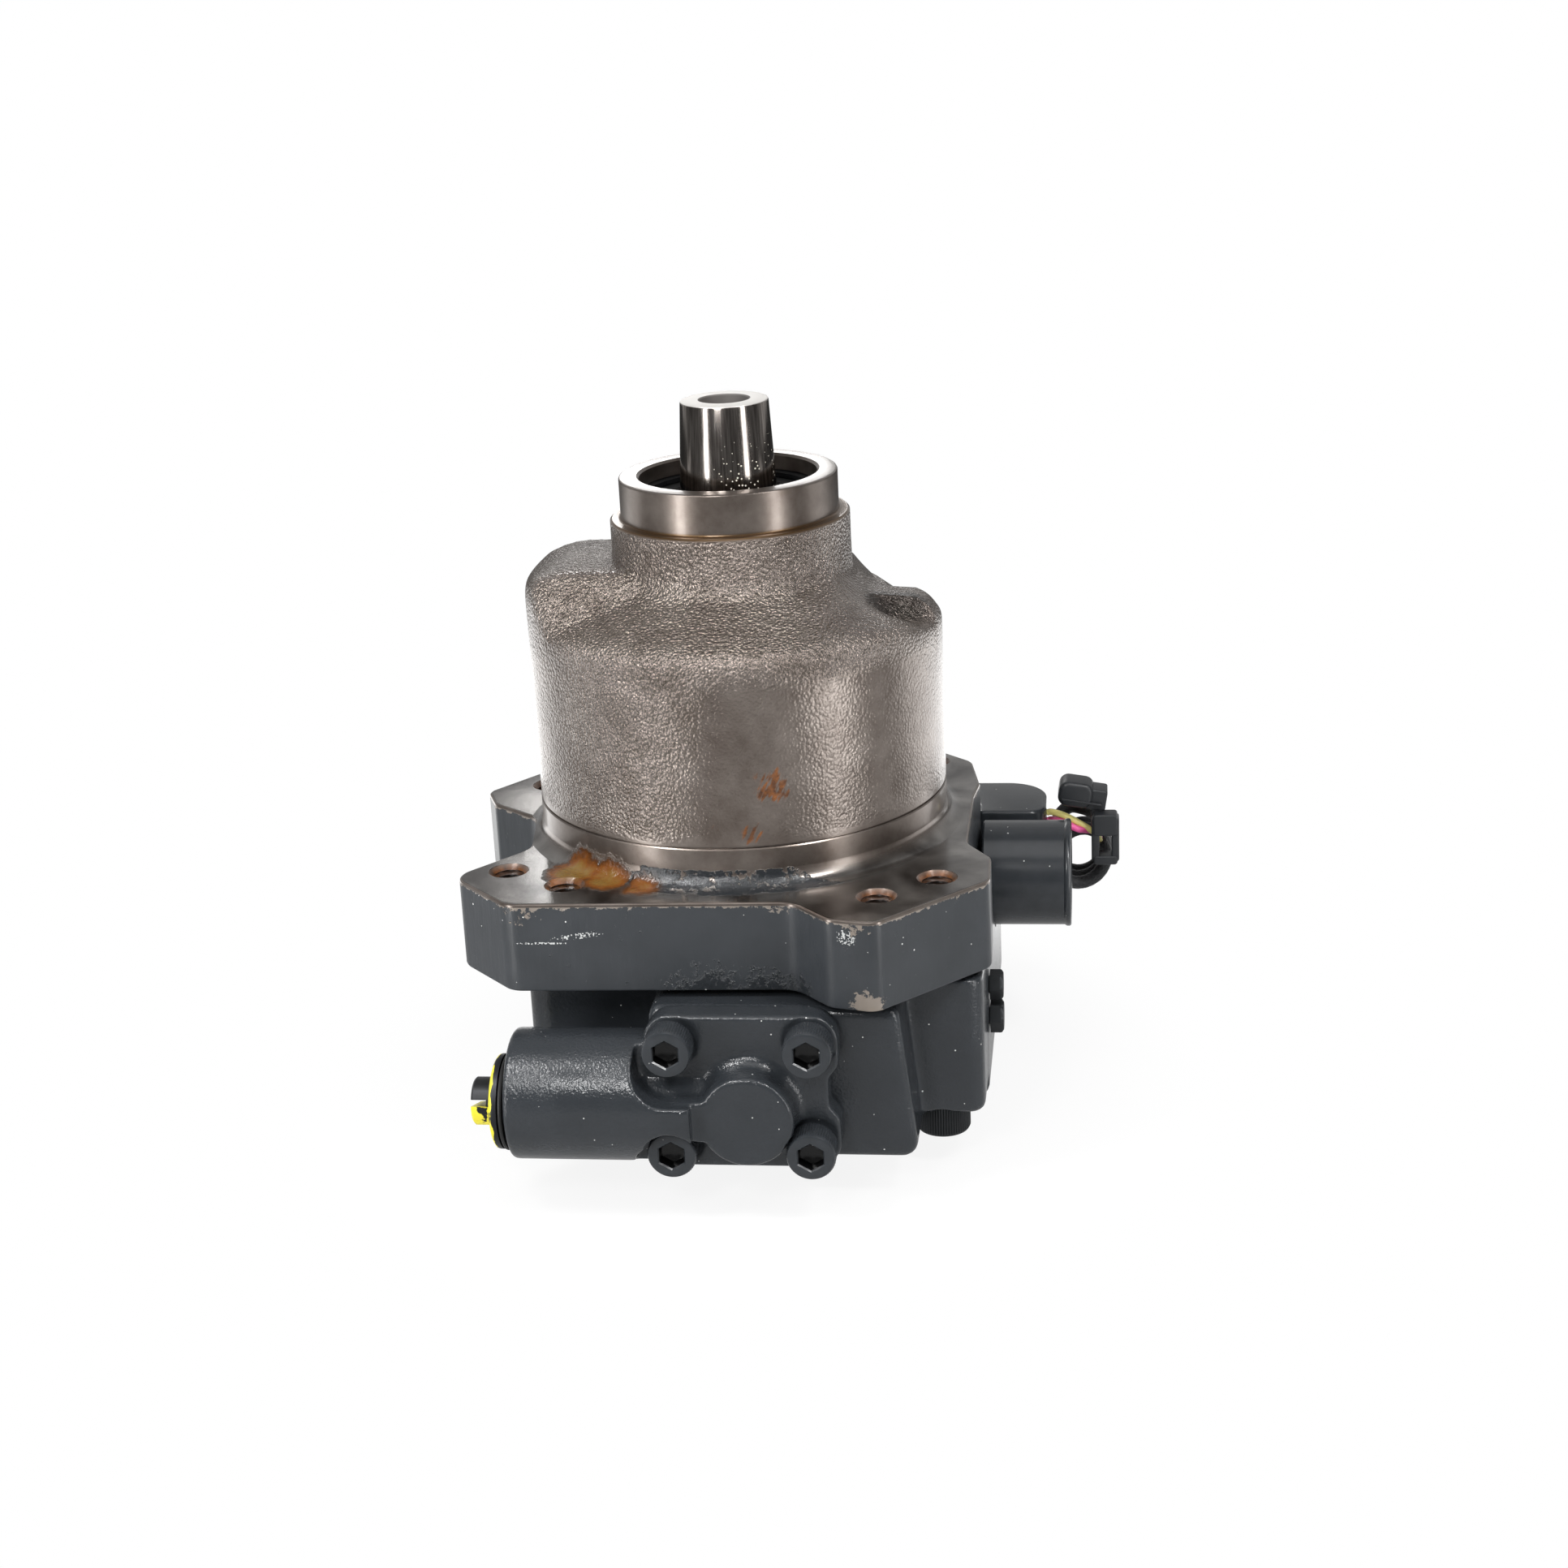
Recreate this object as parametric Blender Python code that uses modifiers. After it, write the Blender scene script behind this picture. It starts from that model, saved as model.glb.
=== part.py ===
"""Axial piston unit with a swash plate, a mid flange, a control housing and a solenoid.

Sizes are in millimetres and become metres when a mesh is made. The origin is the centre of the port
block's base face. +Z runs up the shaft, and -Y faces the control housing.
"""

import math

import bmesh
import bpy
from mathutils import Matrix, Vector

MM = 0.001
FIT = 0.3  # running or seating gap between two pieces
OVER = 1.0  # how far a cutter passes the face it cuts
CHAMFER = 1.0  # usual turned or cast chamfer
SMALL_EDGE = 0.5  # edge break on screws, nuts and thin slots

# Port block and the stack of faces above it
BASE_PAD_H = 13.0
BASE_PAD_R = 52.0
PORT_BLOCK_H = 54.1
PORT_BLOCK_LEFT = -69.0
PORT_BLOCK_RIGHT = 85.0
PORT_BLOCK_FRONT = -60.0
PORT_BLOCK_BACK = 72.0
PORT_BLOCK_CORNER = 8.0
PORT_BLOCK_EDGE = 5.0
# The front right corner is a column round a main bolt, with a higher foot than the block.
COLUMN_LEFT = 56.0
COLUMN_RIGHT = 84.6
COLUMN_FRONT = -71.2
COLUMN_BACK = -45.0
COLUMN_FOOT = 19.4
COLUMN_CORNER = 5.5
COLUMN_SEAT_SINK = 2.9
GASKET_T = 0.8
GASKET_R = 67.5
GASKET_WIDE = 5.0

# Mid flange of the housing
FLANGE_T = 30.5
FLANGE_EDGE = 1.2
# Each corner is x, y and its rounding, taken counter-clockwise from the front left lobe.
FLANGE_CORNERS = (
    (-90.8, -60.2, 5.0),
    (-67.1, -85.5, 7.0),
    (25.4, -83.0, 10.0),
    (38.0, -97.0, 8.0),
    (53.0, -100.5, 6.0),
    (87.5, -63.5, 7.0),
    (87.0, -42.0, 6.0),
    (78.5, -28.0, 10.0),
    (78.5, 18.0, 8.0),
    (80.0, 32.0, 8.0),
    (76.0, 57.0, 8.0),
    (53.0, 80.0, 7.0),
    (-58.0, 80.0, 7.0),
    (-97.5, 25.5, 6.0),
    (-92.0, 12.0, 6.0),
    (-73.5, -3.0, 12.0),
    (-69.5, -33.0, 12.0),
)
MOUNT_HOLES = (
    (-72.4, -54.7),
    (-51.1, -67.6),
    (52.0, -77.1),
    (70.3, -60.6),
    (61.2, 56.9),
    (44.3, 70.0),
    (-75.7, 33.0),
    (-64.2, 52.0),
)
MOUNT_HOLE_R = 6.0
MOUNT_HOLE_SINK_R = 7.5
MOUNT_HOLE_DEPTH = 15.0

# Main bolts, put in from below
MAIN_BOLTS = ((70.3, -60.6), (-55.0, -50.0), (69.0, 34.0), (-56.0, 50.0))
MAIN_BOLT_R = 6.0
MAIN_BOLT_HEAD_R = 9.0
MAIN_BOLT_HEAD_H = 12.0
MAIN_BOLT_GRIP = 13.0
MAIN_BOLT_KEY = 10.0
SPOT_FACE_PLAY = 0.6

# Round case above the flange
CASE_R = 70.0
CASE_WALL = 9.0
PILOT_R = 71.2
PILOT_H = 8.5
PILOT_FILLET = 4.5
GROOVE_DEEP = 0.6
GROOVE_WIDE = 1.4
SHOULDER_ROUND = 7.0
SHOULDER_SLOPE = math.radians(28.0)
NECK_R = 40.25
NECK_H = 18.9
NECK_FILLET = 4.0
NECK_FOOT = 3.0
ROOF_T = 10.0
CEILING_FLAT = 4.0  # flat ceiling past the swash plate's rim
COLLAR_R = 36.6
COLLAR_H = 13.8
LEFT_EAR_R = 73.0
LEFT_EAR_HALF_ANGLE = math.radians(20.0)
LEFT_EAR_TOP = 18.0
RIGHT_EAR_R = 71.0
RIGHT_EAR_HALF_ANGLE = math.radians(16.0)
RIGHT_EAR_TOP = 9.0
EAR_INNER_X = 33.0
EAR_ROUND = 5.0

# Shaft, seal and bearings
SHAFT_OUT = 24.3
SHAFT_END_R = 14.7
SHAFT_EDGE = 0.8
SHAFT_TAPER = 0.05  # change of radius for each unit of length, a 1:10 cone
SHAFT_TAPER_FOOT = 1.0  # foot of the cone above the seal
SHAFT_STEP = 1.5
SHAFT_JOURNAL_R = 17.5
SHAFT_COLLAR_R = 20.5
SHAFT_COLLAR_H = 6.0
SHAFT_COLLAR_SLOPE = 4.0
SHAFT_DRIVE_R = 15.0
SHAFT_TAIL_R = 12.5
SHAFT_TAIL_SLOPE = 2.0
SHAFT_HOLE_R = 7.0
SHAFT_HOLE_DEPTH = 30.0
SHAFT_HOLE_SINK = 1.3
SEAL_SINK = 5.6
SEAL_H = 8.0
SEAL_LIP = 2.0
SEAL_BORE_R = 29.8
RETAINING_RING_T = 1.5
RETAINING_RING_DEEP = 1.7
RETAINING_RING_WIDE = 4.2
RETAINING_RING_GAP = 8.0
LIP_T = 2.6
LIP_R = 24.0
FRONT_BEARING_H = 16.7
FRONT_BEARING_R = 31.0
REAR_BEARING_H = 15.0
REAR_BEARING_R = 26.0
REAR_BEARING_SINK = 6.0
CUP_T = 4.7
RACE_TAPER = 1.0

# Rotating group
PISTONS = 7
PITCH_R = 31.0
MAX_TILT = math.radians(15.0)
PISTON_R = 8.6
PISTON_PLAY = 1.0  # room for the drift of the tilted slipper circle over the bores
PISTON_OUT = 4.0
PISTON_LENGTH = 29.0
PISTON_NECK_R = 3.4
BALL_R = 6.2
BALL_LIFT = 21.0  # ball centres above the cylinder block's top face
VALVE_PLATE_T = 6.8
VALVE_PLATE_R = 42.0
VALVE_PLATE_BORE_R = 16.5
KIDNEY_HALF_WIDTH = 4.2
KIDNEY_HALF_ANGLE = math.radians(52.0)
BLOCK_H = 45.5
BLOCK_R = 43.0
PISTON_BORE_DEPTH = 36.0
BLOCK_PORT_R = 4.0
SPRING_ROOM_R = 20.3
SPRING_ROOM_DEPTH = 28.0
BLOCK_SPRING_R = 18.0
BLOCK_SPRING_WIRE_R = 1.1
BLOCK_SPRING_TURNS = 5
SLIPPER_R = 11.6
SLIPPER_NECK_R = 8.2
SLIPPER_FOOT_T = 3.0
SLIPPER_LIFT = 9.0  # slipper face above the ball centre
SLIPPER_LIP = 3.8
SOCKET_PLAY = 0.5  # keeps the flat facets of ball and socket apart when they tilt
RETAINER_T = 3.3
RETAINER_R = 43.5
RETAINER_PLAY = 0.4
RETAINER_HOLE_PLAY = 2.0
GUIDE_R = 18.5
GUIDE_UP = 4.5
GUIDE_DOWN = 7.0
GUIDE_SLEEVE = 8.0

# Swash plate, its cradle and the two pistons that tilt it
SWASH_T = 6.0
SWASH_R = 46.0
SWASH_BORE_R = 24.0
CRADLE_R = 30.0
CRADLE_INNER_X = 26.3
CRADLE_WIDTH = 17.4
CRADLE_HALF_ANGLE = math.radians(60.0)
CRADLE_ROOT = 2.0
SHELL_T = 2.0
SHELL_HALF_ANGLE = math.radians(38.0)
SEAT_T = 4.4
SEAT_HALF_DEPTH = 26.0
SEAT_CLEAR = 24.5  # seat's lower face above the tilt axis
LUG_HALF_WIDTH = 9.0
LUG_REACH = 57.0
LUG_ROOT = 6.0
LUG_ROUND = 2.0
TILT_PISTON_Y = 52.5
TILT_ROD_R = 5.5
SERVO_R = 7.0
SERVO_LENGTH = 27.0
SERVO_BORE_DEPTH = 37.0
SERVO_START = 3.0
BIAS_R = 8.5
BIAS_LENGTH = 14.0
BIAS_BORE_DEPTH = 47.0
BIAS_SPRING_LENGTH = 29.4
BIAS_SPRING_R = 6.6
BIAS_SPRING_WIRE_R = 1.0
BIAS_SPRING_TURNS = 6

# Ports in the back of the port block
PORT_X = 34.0
PORT_Z = 34.0
PORT_R = 9.5
PORT_DEPTH = 76.0
PORT_PAD_T = 4.0
PORT_PAD_HALF_X = 66.0
PORT_PAD_HALF_Z = 19.0
PORT_PAD_ROUND = 8.0
PORT_BOLT_X = 23.8
PORT_BOLT_Z = 11.1
PORT_BOLT_R = 4.3
PORT_BOLT_DEPTH = 18.0
PASSAGE_X = 33.0
PASSAGE_Y = 6.0
PASSAGE_R = 4.6

# Control housing on the front of the port block
PAD_LEFT = -22.0
PAD_RIGHT_TOP = 59.0
PAD_RIGHT_BASE = 64.5
PAD_FRONT = -92.0
PAD_TOP_DROP = 1.0
PAD_BASE_RISE = 0.6
PAD_ROUND = 4.0
PAD_ROOT = 10.0  # how far a pad runs back into the block
CONTROL_T = 10.0
CONTROL_MID_X = 9.3
CONTROL_MID_Z = 41.45
SCREW_SPACING_X = 44.6
SCREW_SPACING_Z = 35.1
SCREW_LOBE_R = 8.8
CONTROL_WAIST = 3.4
CONTROL_WAIST_HALF_H = 5.0
CONTROL_WAIST_RUN = 4.0
CONTROL_EDGE = 1.2
SCREW_R = 5.0
SCREW_HEAD_R = 8.0
SCREW_HEAD_H = 10.0
SCREW_KEY = 8.0
SCREW_GRIP = 20.0
BOSS_X = 11.5
BOSS_Z = 36.0
BOSS_R = 15.25
BOSS_H = 11.0
BARREL_LEFT = -66.0
BARREL_Y = -96.0
BARREL_Z = 37.7
BARREL_R = 21.3
NECK_BAR_R = 9.0
NECK_BAR_ROOT = 8.0
NECK_BAR_RISE = 1.0  # bar's axis above the spool's
SPOOL_Y = -100.0
SPOOL_Z = 36.5
SPOOL_R = 5.0
SPOOL_LEFT = -28.0
SPOOL_LENGTH = 46.0
SPOOL_GROOVE = 2.0
SPOOL_GROOVES = ((0.62, 0.82), (0.2, 0.4))  # ends of each groove as shares of the length
SPOOL_ROOM_R = 7.3
SPOOL_SPRING_LENGTH = 19.4
SPOOL_SPRING_R = 5.2
SPOOL_SPRING_WIRE_R = 0.8
SPOOL_SPRING_TURNS = 6
SPOOL_END_ROOM = 4.0
SEAL_RING_T = 1.6
SEAL_RING_R = 13.9
LOCK_NUT_T = 3.0
LOCK_NUT_KEY = 23.4
ADJUSTER_R = 6.9
ADJUSTER_OUT = 7.3
ADJUSTER_SLOT = 2.6
ADJUSTER_SLOT_DEEP = 3.4
ADJUSTER_SLOT_ROUND = 0.2

# Solenoid, terminal box and plugs on the sides of the port block; a drop or rise is from the block's top
CAN_Y = 30.0
CAN_DROP = 1.1
CAN_R = 18.7
CAN_LEFT = 81.0
CAN_LENGTH = 31.0
CAN_RIM_R = 19.2
CAN_RIM_T = 1.6
CAN_RIM_FOOT = 0.8
CAN_BORE_R = 9.0
CAN_BORE_DEPTH = 25.0
PLUNGER_LENGTH = 19.0
PLUNGER_TRAVEL = 3.0
BOX_LEFT = 78.2
BOX_RIGHT = 102.5
BOX_FRONT = 50.0
BOX_BACK = 83.0
BOX_RISE = 13.4
BOX_DROP = 17.1
BOX_CORNER = 11.0
BOX_FRONT_ROUND = 2.0
BOX_BACK_ROUND = 4.0
BOX_EDGE = 1.5
BOX_LID = 3.0
SIDE_PLUG_Y = -33.0
SIDE_PLUGS = (("side_plug_upper", 49.5, 9.0), ("side_plug_lower", 38.0, 10.0))
SIDE_PLUG_OUT = 4.5
SIDE_PLUG_R = 3.0
SIDE_PLUG_GRIP = 10.0
DRAIN_PLUG_Y = 12.0
DRAIN_PLUG_Z = 40.0
DRAIN_PLUG_R = 11.5
DRAIN_PLUG_OUT = 4.0
DRAIN_PLUG_GRIP = 12.0
DRAIN_THREAD_R = 8.5
DRAIN_PLUG_KEY = 8.0

# Leads, sleeve and connector; the route points are chosen by eye, with heights from the block's top
WIRE_R = 1.2
SLEEVE_R = 2.4
LEAD_STRAIGHT = 4.0  # straight length of a lead before the sleeve
COIL_X = 114.7
COIL_DROP = 6.3
COIL_R = 10.0
COIL_START = math.radians(38.0)
COIL_TURNS = 2.6
COIL_STEPS = 32
COIL_YAW = math.radians(20.0)
COIL_FRONT = 57.0
COIL_STEP = 6.0  # advance along Y for each turn
SLEEVE_TAIL = (
    (105.6, 70.6, -0.7),
    (107.2, 72.0, 5.3),
    (111.0, 71.6, 8.9),
    (115.8, 67.8, 9.7),
    (119.8, 63.0, 9.7),
    (121.9, 59.3, 9.7),
)
# Each lead has a name, a shift along Y at the sleeve, then points as distance from the box, y and height.
LEAD_ROUTES = (
    ("lead_yellow", -1.45, ((0, 62.5, 9.9), (1.8, 62.2, 10.1), (6.4, 58.6, 10.3), (12, 57.1, 8.9))),
    ("lead_pink", 1.45, ((0, 63.5, 6.3), (1.8, 63.2, 6.5), (6.4, 60.6, 7.4), (12, 59.6, 7.3))),
)
CONNECTOR_LEFT = 106.8
CONNECTOR_RIGHT = 124.3
CONNECTOR_FRONT = 52.0
CONNECTOR_BACK = 64.0
CONNECTOR_RISE = 13.9
CONNECTOR_H = 11.0
CONNECTOR_ROUND = 4.5
CONNECTOR_EDGE = 1.5
LATCH_LEFT = 119.0
LATCH_RIGHT = 129.0
LATCH_FRONT = 48.8
LATCH_BACK = 55.5
LATCH_DROP = 5.6
LATCH_WINDOW_X = 3.6
LATCH_WINDOW_Z = 8.0
LATCH_BAR = 3.0

# Faces that follow from the sizes above
BLOCK_BASE = BASE_PAD_H
BLOCK_TOP = BLOCK_BASE + PORT_BLOCK_H
CAN_Z = BLOCK_TOP - CAN_DROP
BOX_TOP = BLOCK_TOP + BOX_RISE
BOX_BOTTOM = BLOCK_TOP - BOX_DROP
COIL_Z = BLOCK_TOP - COIL_DROP
CONNECTOR_BASE = BLOCK_TOP + CONNECTOR_RISE
CONNECTOR_TOP = CONNECTOR_BASE + CONNECTOR_H
LATCH_BASE = BLOCK_TOP - LATCH_DROP
GASKET_BASE = BLOCK_TOP + FIT
FLANGE_BASE = GASKET_BASE + GASKET_T + FIT
FLANGE_TOP = FLANGE_BASE + FLANGE_T
PILOT_TOP = FLANGE_TOP + PILOT_FILLET + PILOT_H
CAVITY_R = CASE_R - CASE_WALL
VALVE_PLATE_BASE = BLOCK_TOP + FIT
CYLINDER_BASE = VALVE_PLATE_BASE + VALVE_PLATE_T + FIT
CYLINDER_TOP = CYLINDER_BASE + BLOCK_H
TILT_Z = CYLINDER_TOP + BALL_LIFT
SWASH_FACE = TILT_Z + SLIPPER_LIFT + FIT
SEAT_R = CRADLE_R + FIT + SHELL_T + FIT
CEILING = TILT_Z + SEAT_R + SEAT_T
NECK_BASE = CEILING + ROOF_T
NECK_TOP = NECK_BASE + NECK_H
COLLAR_TOP = NECK_TOP + COLLAR_H
SHAFT_TOP = COLLAR_TOP + SHAFT_OUT
RING_GROOVE_TOP = COLLAR_TOP - SEAL_SINK
RING_GROOVE_BASE = RING_GROOVE_TOP - RETAINING_RING_T - 2 * FIT
SEAL_BASE = RING_GROOVE_BASE - SEAL_H
LIP_TOP = SEAL_BASE - FIT
LIP_BASE = LIP_TOP - LIP_T
FRONT_BEARING_BASE = LIP_BASE - FIT - FRONT_BEARING_H
REAR_BEARING_BASE = BLOCK_TOP - REAR_BEARING_SINK - REAR_BEARING_H
CONTROL_BACK = PAD_FRONT - FIT
CONTROL_FACE = CONTROL_BACK - CONTROL_T
SPOOL_END = SPOOL_LEFT + SPOOL_LENGTH
SOCKET_R = BALL_R + SOCKET_PLAY
# The slippers' circle drifts from the bores by the same amount at no tilt and at full tilt.
SLIPPER_PITCH_R = PITCH_R * (1 + math.tan(MAX_TILT / 2) ** 2)

# Number of facets round a turned piece
CASE_FACETS = 44
BODY_FACETS = 24
SMALL_FACETS = 16
INNER_FACETS = 12
ARC_STEPS = 10

bpy.ops.object.select_all(action="DESELECT")
for old in list(bpy.data.objects):
    bpy.data.objects.remove(old, do_unlink=True)

PARTS = bpy.data.collections.new("axial_piston_unit")
CUTTERS = bpy.data.collections.new("cutters")
bpy.context.scene.collection.children.link(PARTS)
bpy.context.scene.collection.children.link(CUTTERS)

UPRIGHT = Matrix.Identity(4)
ALONG_X = Matrix(((0, 0, 1, 0), (1, 0, 0, 0), (0, 1, 0, 0), (0, 0, 0, 1)))  # local x, y, z to Y, Z, X
ALONG_LEFT = Matrix(((0, 0, -1, 0), (-1, 0, 0, 0), (0, 1, 0, 0), (0, 0, 0, 1)))  # local z to -X
ALONG_FRONT = Matrix(((1, 0, 0, 0), (0, 0, -1, 0), (0, 1, 0, 0), (0, 0, 0, 1)))  # local z to -Y


def place(x, y, z, turn=UPRIGHT):
    """A placement at a point in millimetres, with local z turned to another axis."""
    return Matrix.Translation(Vector((x, y, z)) * MM) @ turn


def finish(name, colour, roughness, metallic):
    """A Principled material; the colour is a linear red, green and blue."""
    material = bpy.data.materials.new(name)
    material.use_nodes = True
    shader = material.node_tree.nodes["Principled BSDF"]
    shader.inputs["Base Color"].default_value = (*colour, 1.0)
    shader.inputs["Roughness"].default_value = roughness
    shader.inputs["Metallic"].default_value = metallic
    return material


CAST_IRON = finish("cast_iron", (0.16, 0.14, 0.13), 0.45, 0.9)
GREY_PAINT = finish("grey_paint", (0.045, 0.05, 0.055), 0.4, 0.0)
STEEL = finish("steel", (0.42, 0.41, 0.4), 0.3, 1.0)
BLACK_STEEL = finish("black_steel", (0.02, 0.02, 0.022), 0.4, 0.7)
BRONZE = finish("bronze", (0.45, 0.27, 0.1), 0.4, 1.0)
RUBBER = finish("rubber", (0.012, 0.012, 0.013), 0.6, 0.0)
BLACK_PLASTIC = finish("black_plastic", (0.018, 0.019, 0.02), 0.5, 0.0)
YELLOW_WIRE = finish("yellow_wire", (0.75, 0.55, 0.12), 0.5, 0.0)
PINK_WIRE = finish("pink_wire", (0.75, 0.1, 0.3), 0.5, 0.0)
GASKET_PAPER = finish("gasket_paper", (0.05, 0.045, 0.04), 0.8, 0.0)


def keep(piece, name, material):
    """Name a finished piece, give it its material and smooth its round faces."""
    piece.name = name
    piece.data.name = name
    piece.data.materials.clear()
    piece.data.materials.append(material)
    if piece.type == "MESH":
        piece.data.shade_smooth()
    return piece


def add(data, placement=UPRIGHT):
    """A new object of the part's collection."""
    piece = bpy.data.objects.new(data.name, data)
    PARTS.objects.link(piece)
    piece.matrix_world = placement
    return piece


def arc(x, y, radius, start, end, steps):
    """Points along a circular arc, with both ends."""
    angles = [start + (end - start) * i / steps for i in range(steps + 1)]
    return [(x + radius * math.cos(a), y + radius * math.sin(a)) for a in angles]


def rounded(corners, steps=3):
    """An outline of x, y, radius corners with each corner turned into an arc."""
    points = []
    for i, (x, y, radius) in enumerate(corners):
        here = Vector((x, y))
        before = Vector(corners[i - 1][:2]) - here
        after = Vector(corners[(i + 1) % len(corners)][:2]) - here
        half = before.angle(after) / 2
        reach = min(radius / math.tan(half), 0.49 * before.length, 0.49 * after.length)
        centre = here + (before.normalized() + after.normalized()).normalized() * reach / math.cos(half)
        first = here + before.normalized() * reach - centre
        last = here + after.normalized() * reach - centre
        sweep = first.angle_signed(last)
        for k in range(steps + 1):
            points.append(tuple(centre + Matrix.Rotation(-sweep * k / steps, 2) @ first))
    return points


def rounded_box(left, right, low, high, radius):
    """Corners of a rectangle with one rounding."""
    return ((left, low, radius), (right, low, radius), (right, high, radius), (left, high, radius))


def turned(profile, facets, placement=UPRIGHT, ring=False):
    """A turned solid. The profile of radius, height runs down the outer side; a ring's profile is closed."""
    mesh = bpy.data.meshes.new("turned")
    count = len(profile)
    edges = [(i, i + 1) for i in range(count - 1)]
    if ring:
        edges.append((count - 1, 0))
    mesh.from_pydata([(r * MM, 0.0, z * MM) for r, z in profile], edges, [])
    piece = add(mesh, placement)
    screw = piece.modifiers.new("turn", "SCREW")
    screw.axis = "Z"
    screw.angle = 2 * math.pi
    screw.steps = facets
    screw.render_steps = facets
    screw.use_merge_vertices = True
    screw.merge_threshold = 0.00001
    screw.use_smooth_shade = True
    return piece


def tube_ring(outer, inner, low, high, facets, placement=UPRIGHT):
    """A plain turned ring between two radii and two heights."""
    return turned(((outer, high), (outer, low), (inner, low), (inner, high)), facets, placement, ring=True)


def rod(radius, low, high, facets, placement=UPRIGHT):
    """A plain turned rod between two heights."""
    return turned(((0, high), (radius, high), (radius, low), (0, low)), facets, placement)


def as_mesh(curve):
    """The closed mesh of a filled curve, in place of the curve."""
    graph = bpy.context.evaluated_depsgraph_get()
    graph.update()
    mesh = bpy.data.meshes.new_from_object(curve.evaluated_get(graph))
    welded = bmesh.new()
    welded.from_mesh(mesh)
    bmesh.ops.remove_doubles(welded, verts=welded.verts, dist=0.000001)
    bmesh.ops.recalc_face_normals(welded, faces=welded.faces)
    welded.to_mesh(mesh)
    welded.free()
    piece = add(mesh, curve.matrix_world.copy())
    bpy.data.objects.remove(curve, do_unlink=True)
    return piece


def slab(outline, low, high, placement=UPRIGHT):
    """A flat outline in local x, y with a thickness along local z."""
    curve = bpy.data.curves.new("outline", "CURVE")
    curve.dimensions = "2D"
    curve.fill_mode = "BOTH"
    curve.extrude = (high - low) / 2 * MM
    spline = curve.splines.new("POLY")
    spline.points.add(len(outline) - 1)
    for point, (x, y) in zip(spline.points, outline):
        point.co = (x * MM, y * MM, 0.0, 1.0)
    spline.use_cyclic_u = True
    return as_mesh(add(curve, placement @ Matrix.Translation((0, 0, (low + high) / 2 * MM))))


def bevel(piece, width, segments=1, angle=60.0):
    """Round the sharp edges of a piece."""
    modifier = piece.modifiers.new("edge", "BEVEL")
    modifier.width = width * MM
    modifier.segments = segments
    modifier.limit_method = "ANGLE"
    modifier.angle_limit = math.radians(angle)
    return piece


def combine(piece, tool, operation):
    """Join or cut a piece with a tool, which moves to the cutters."""
    PARTS.objects.unlink(tool)
    CUTTERS.objects.link(tool)
    tool.hide_render = True
    tool.display_type = "WIRE"
    tool.name = f"{operation.lower()}_tool"
    modifier = piece.modifiers.new(operation.lower(), "BOOLEAN")
    modifier.operation = operation
    modifier.solver = "EXACT"
    modifier.object = tool


def join(piece, *tools):
    for tool in tools:
        combine(piece, tool, "UNION")


def cut(piece, *tools):
    for tool in tools:
        combine(piece, tool, "DIFFERENCE")


def hexagon(key, low, high, placement):
    """A hex prism with a given width across its flats."""
    return slab(arc(0, 0, key / math.sqrt(3), 0, 2 * math.pi * 5 / 6, 5), low, high, placement)


def wire(points, radius, resolution):
    """A round wire or tube along points in millimetres."""
    curve = bpy.data.curves.new("wire", "CURVE")
    curve.dimensions = "3D"
    curve.bevel_depth = radius * MM
    curve.bevel_resolution = resolution
    curve.use_fill_caps = True
    spline = curve.splines.new("POLY")
    spline.points.add(len(points) - 1)
    for point, place_at in zip(spline.points, points):
        point.co = (*(Vector(place_at) * MM), 1.0)
    return as_mesh(add(curve))


def smooth_route(points, steps):
    """Points on a smooth curve through the route's own points."""
    ends = [2 * points[0] - points[1], *points, 2 * points[-1] - points[-2]]
    route = []
    for a, b, c, d in zip(ends, ends[1:], ends[2:], ends[3:]):
        for k in range(steps):
            t = k / steps
            square = (2 * a - 5 * b + 4 * c - d) * t**2
            cube = (3 * b - a - 3 * c + d) * t**3
            route.append((2 * b + (c - a) * t + square + cube) / 2)
    route.append(points[-1])
    return route


def print_gap(name, points, apart, radius):
    """Print how near a wound wire comes to itself, past its nearest points along the wire."""
    near = min((p - q).length for i, p in enumerate(points) for q in points[i + apart:])
    print(f"{name}: least gap to itself {near - 2 * radius:.2f} mm")


def coil_spring(name, radius, wire_radius, turns, length, placement):
    """A compression spring along local z, from 0 to its length, with its least gap printed."""
    per_turn = 8
    count = turns * per_turn
    rise = (length - 2 * wire_radius) / count
    points = []
    for i in range(count + 1):
        angle = 2 * math.pi * i / per_turn
        local = Vector((radius * math.cos(angle), radius * math.sin(angle), wire_radius + rise * i))
        points.append((placement @ (local * MM)) / MM)
    print_gap(name, points, per_turn // 2, wire_radius)
    return keep(wire(points, wire_radius, 1), name, STEEL)


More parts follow.
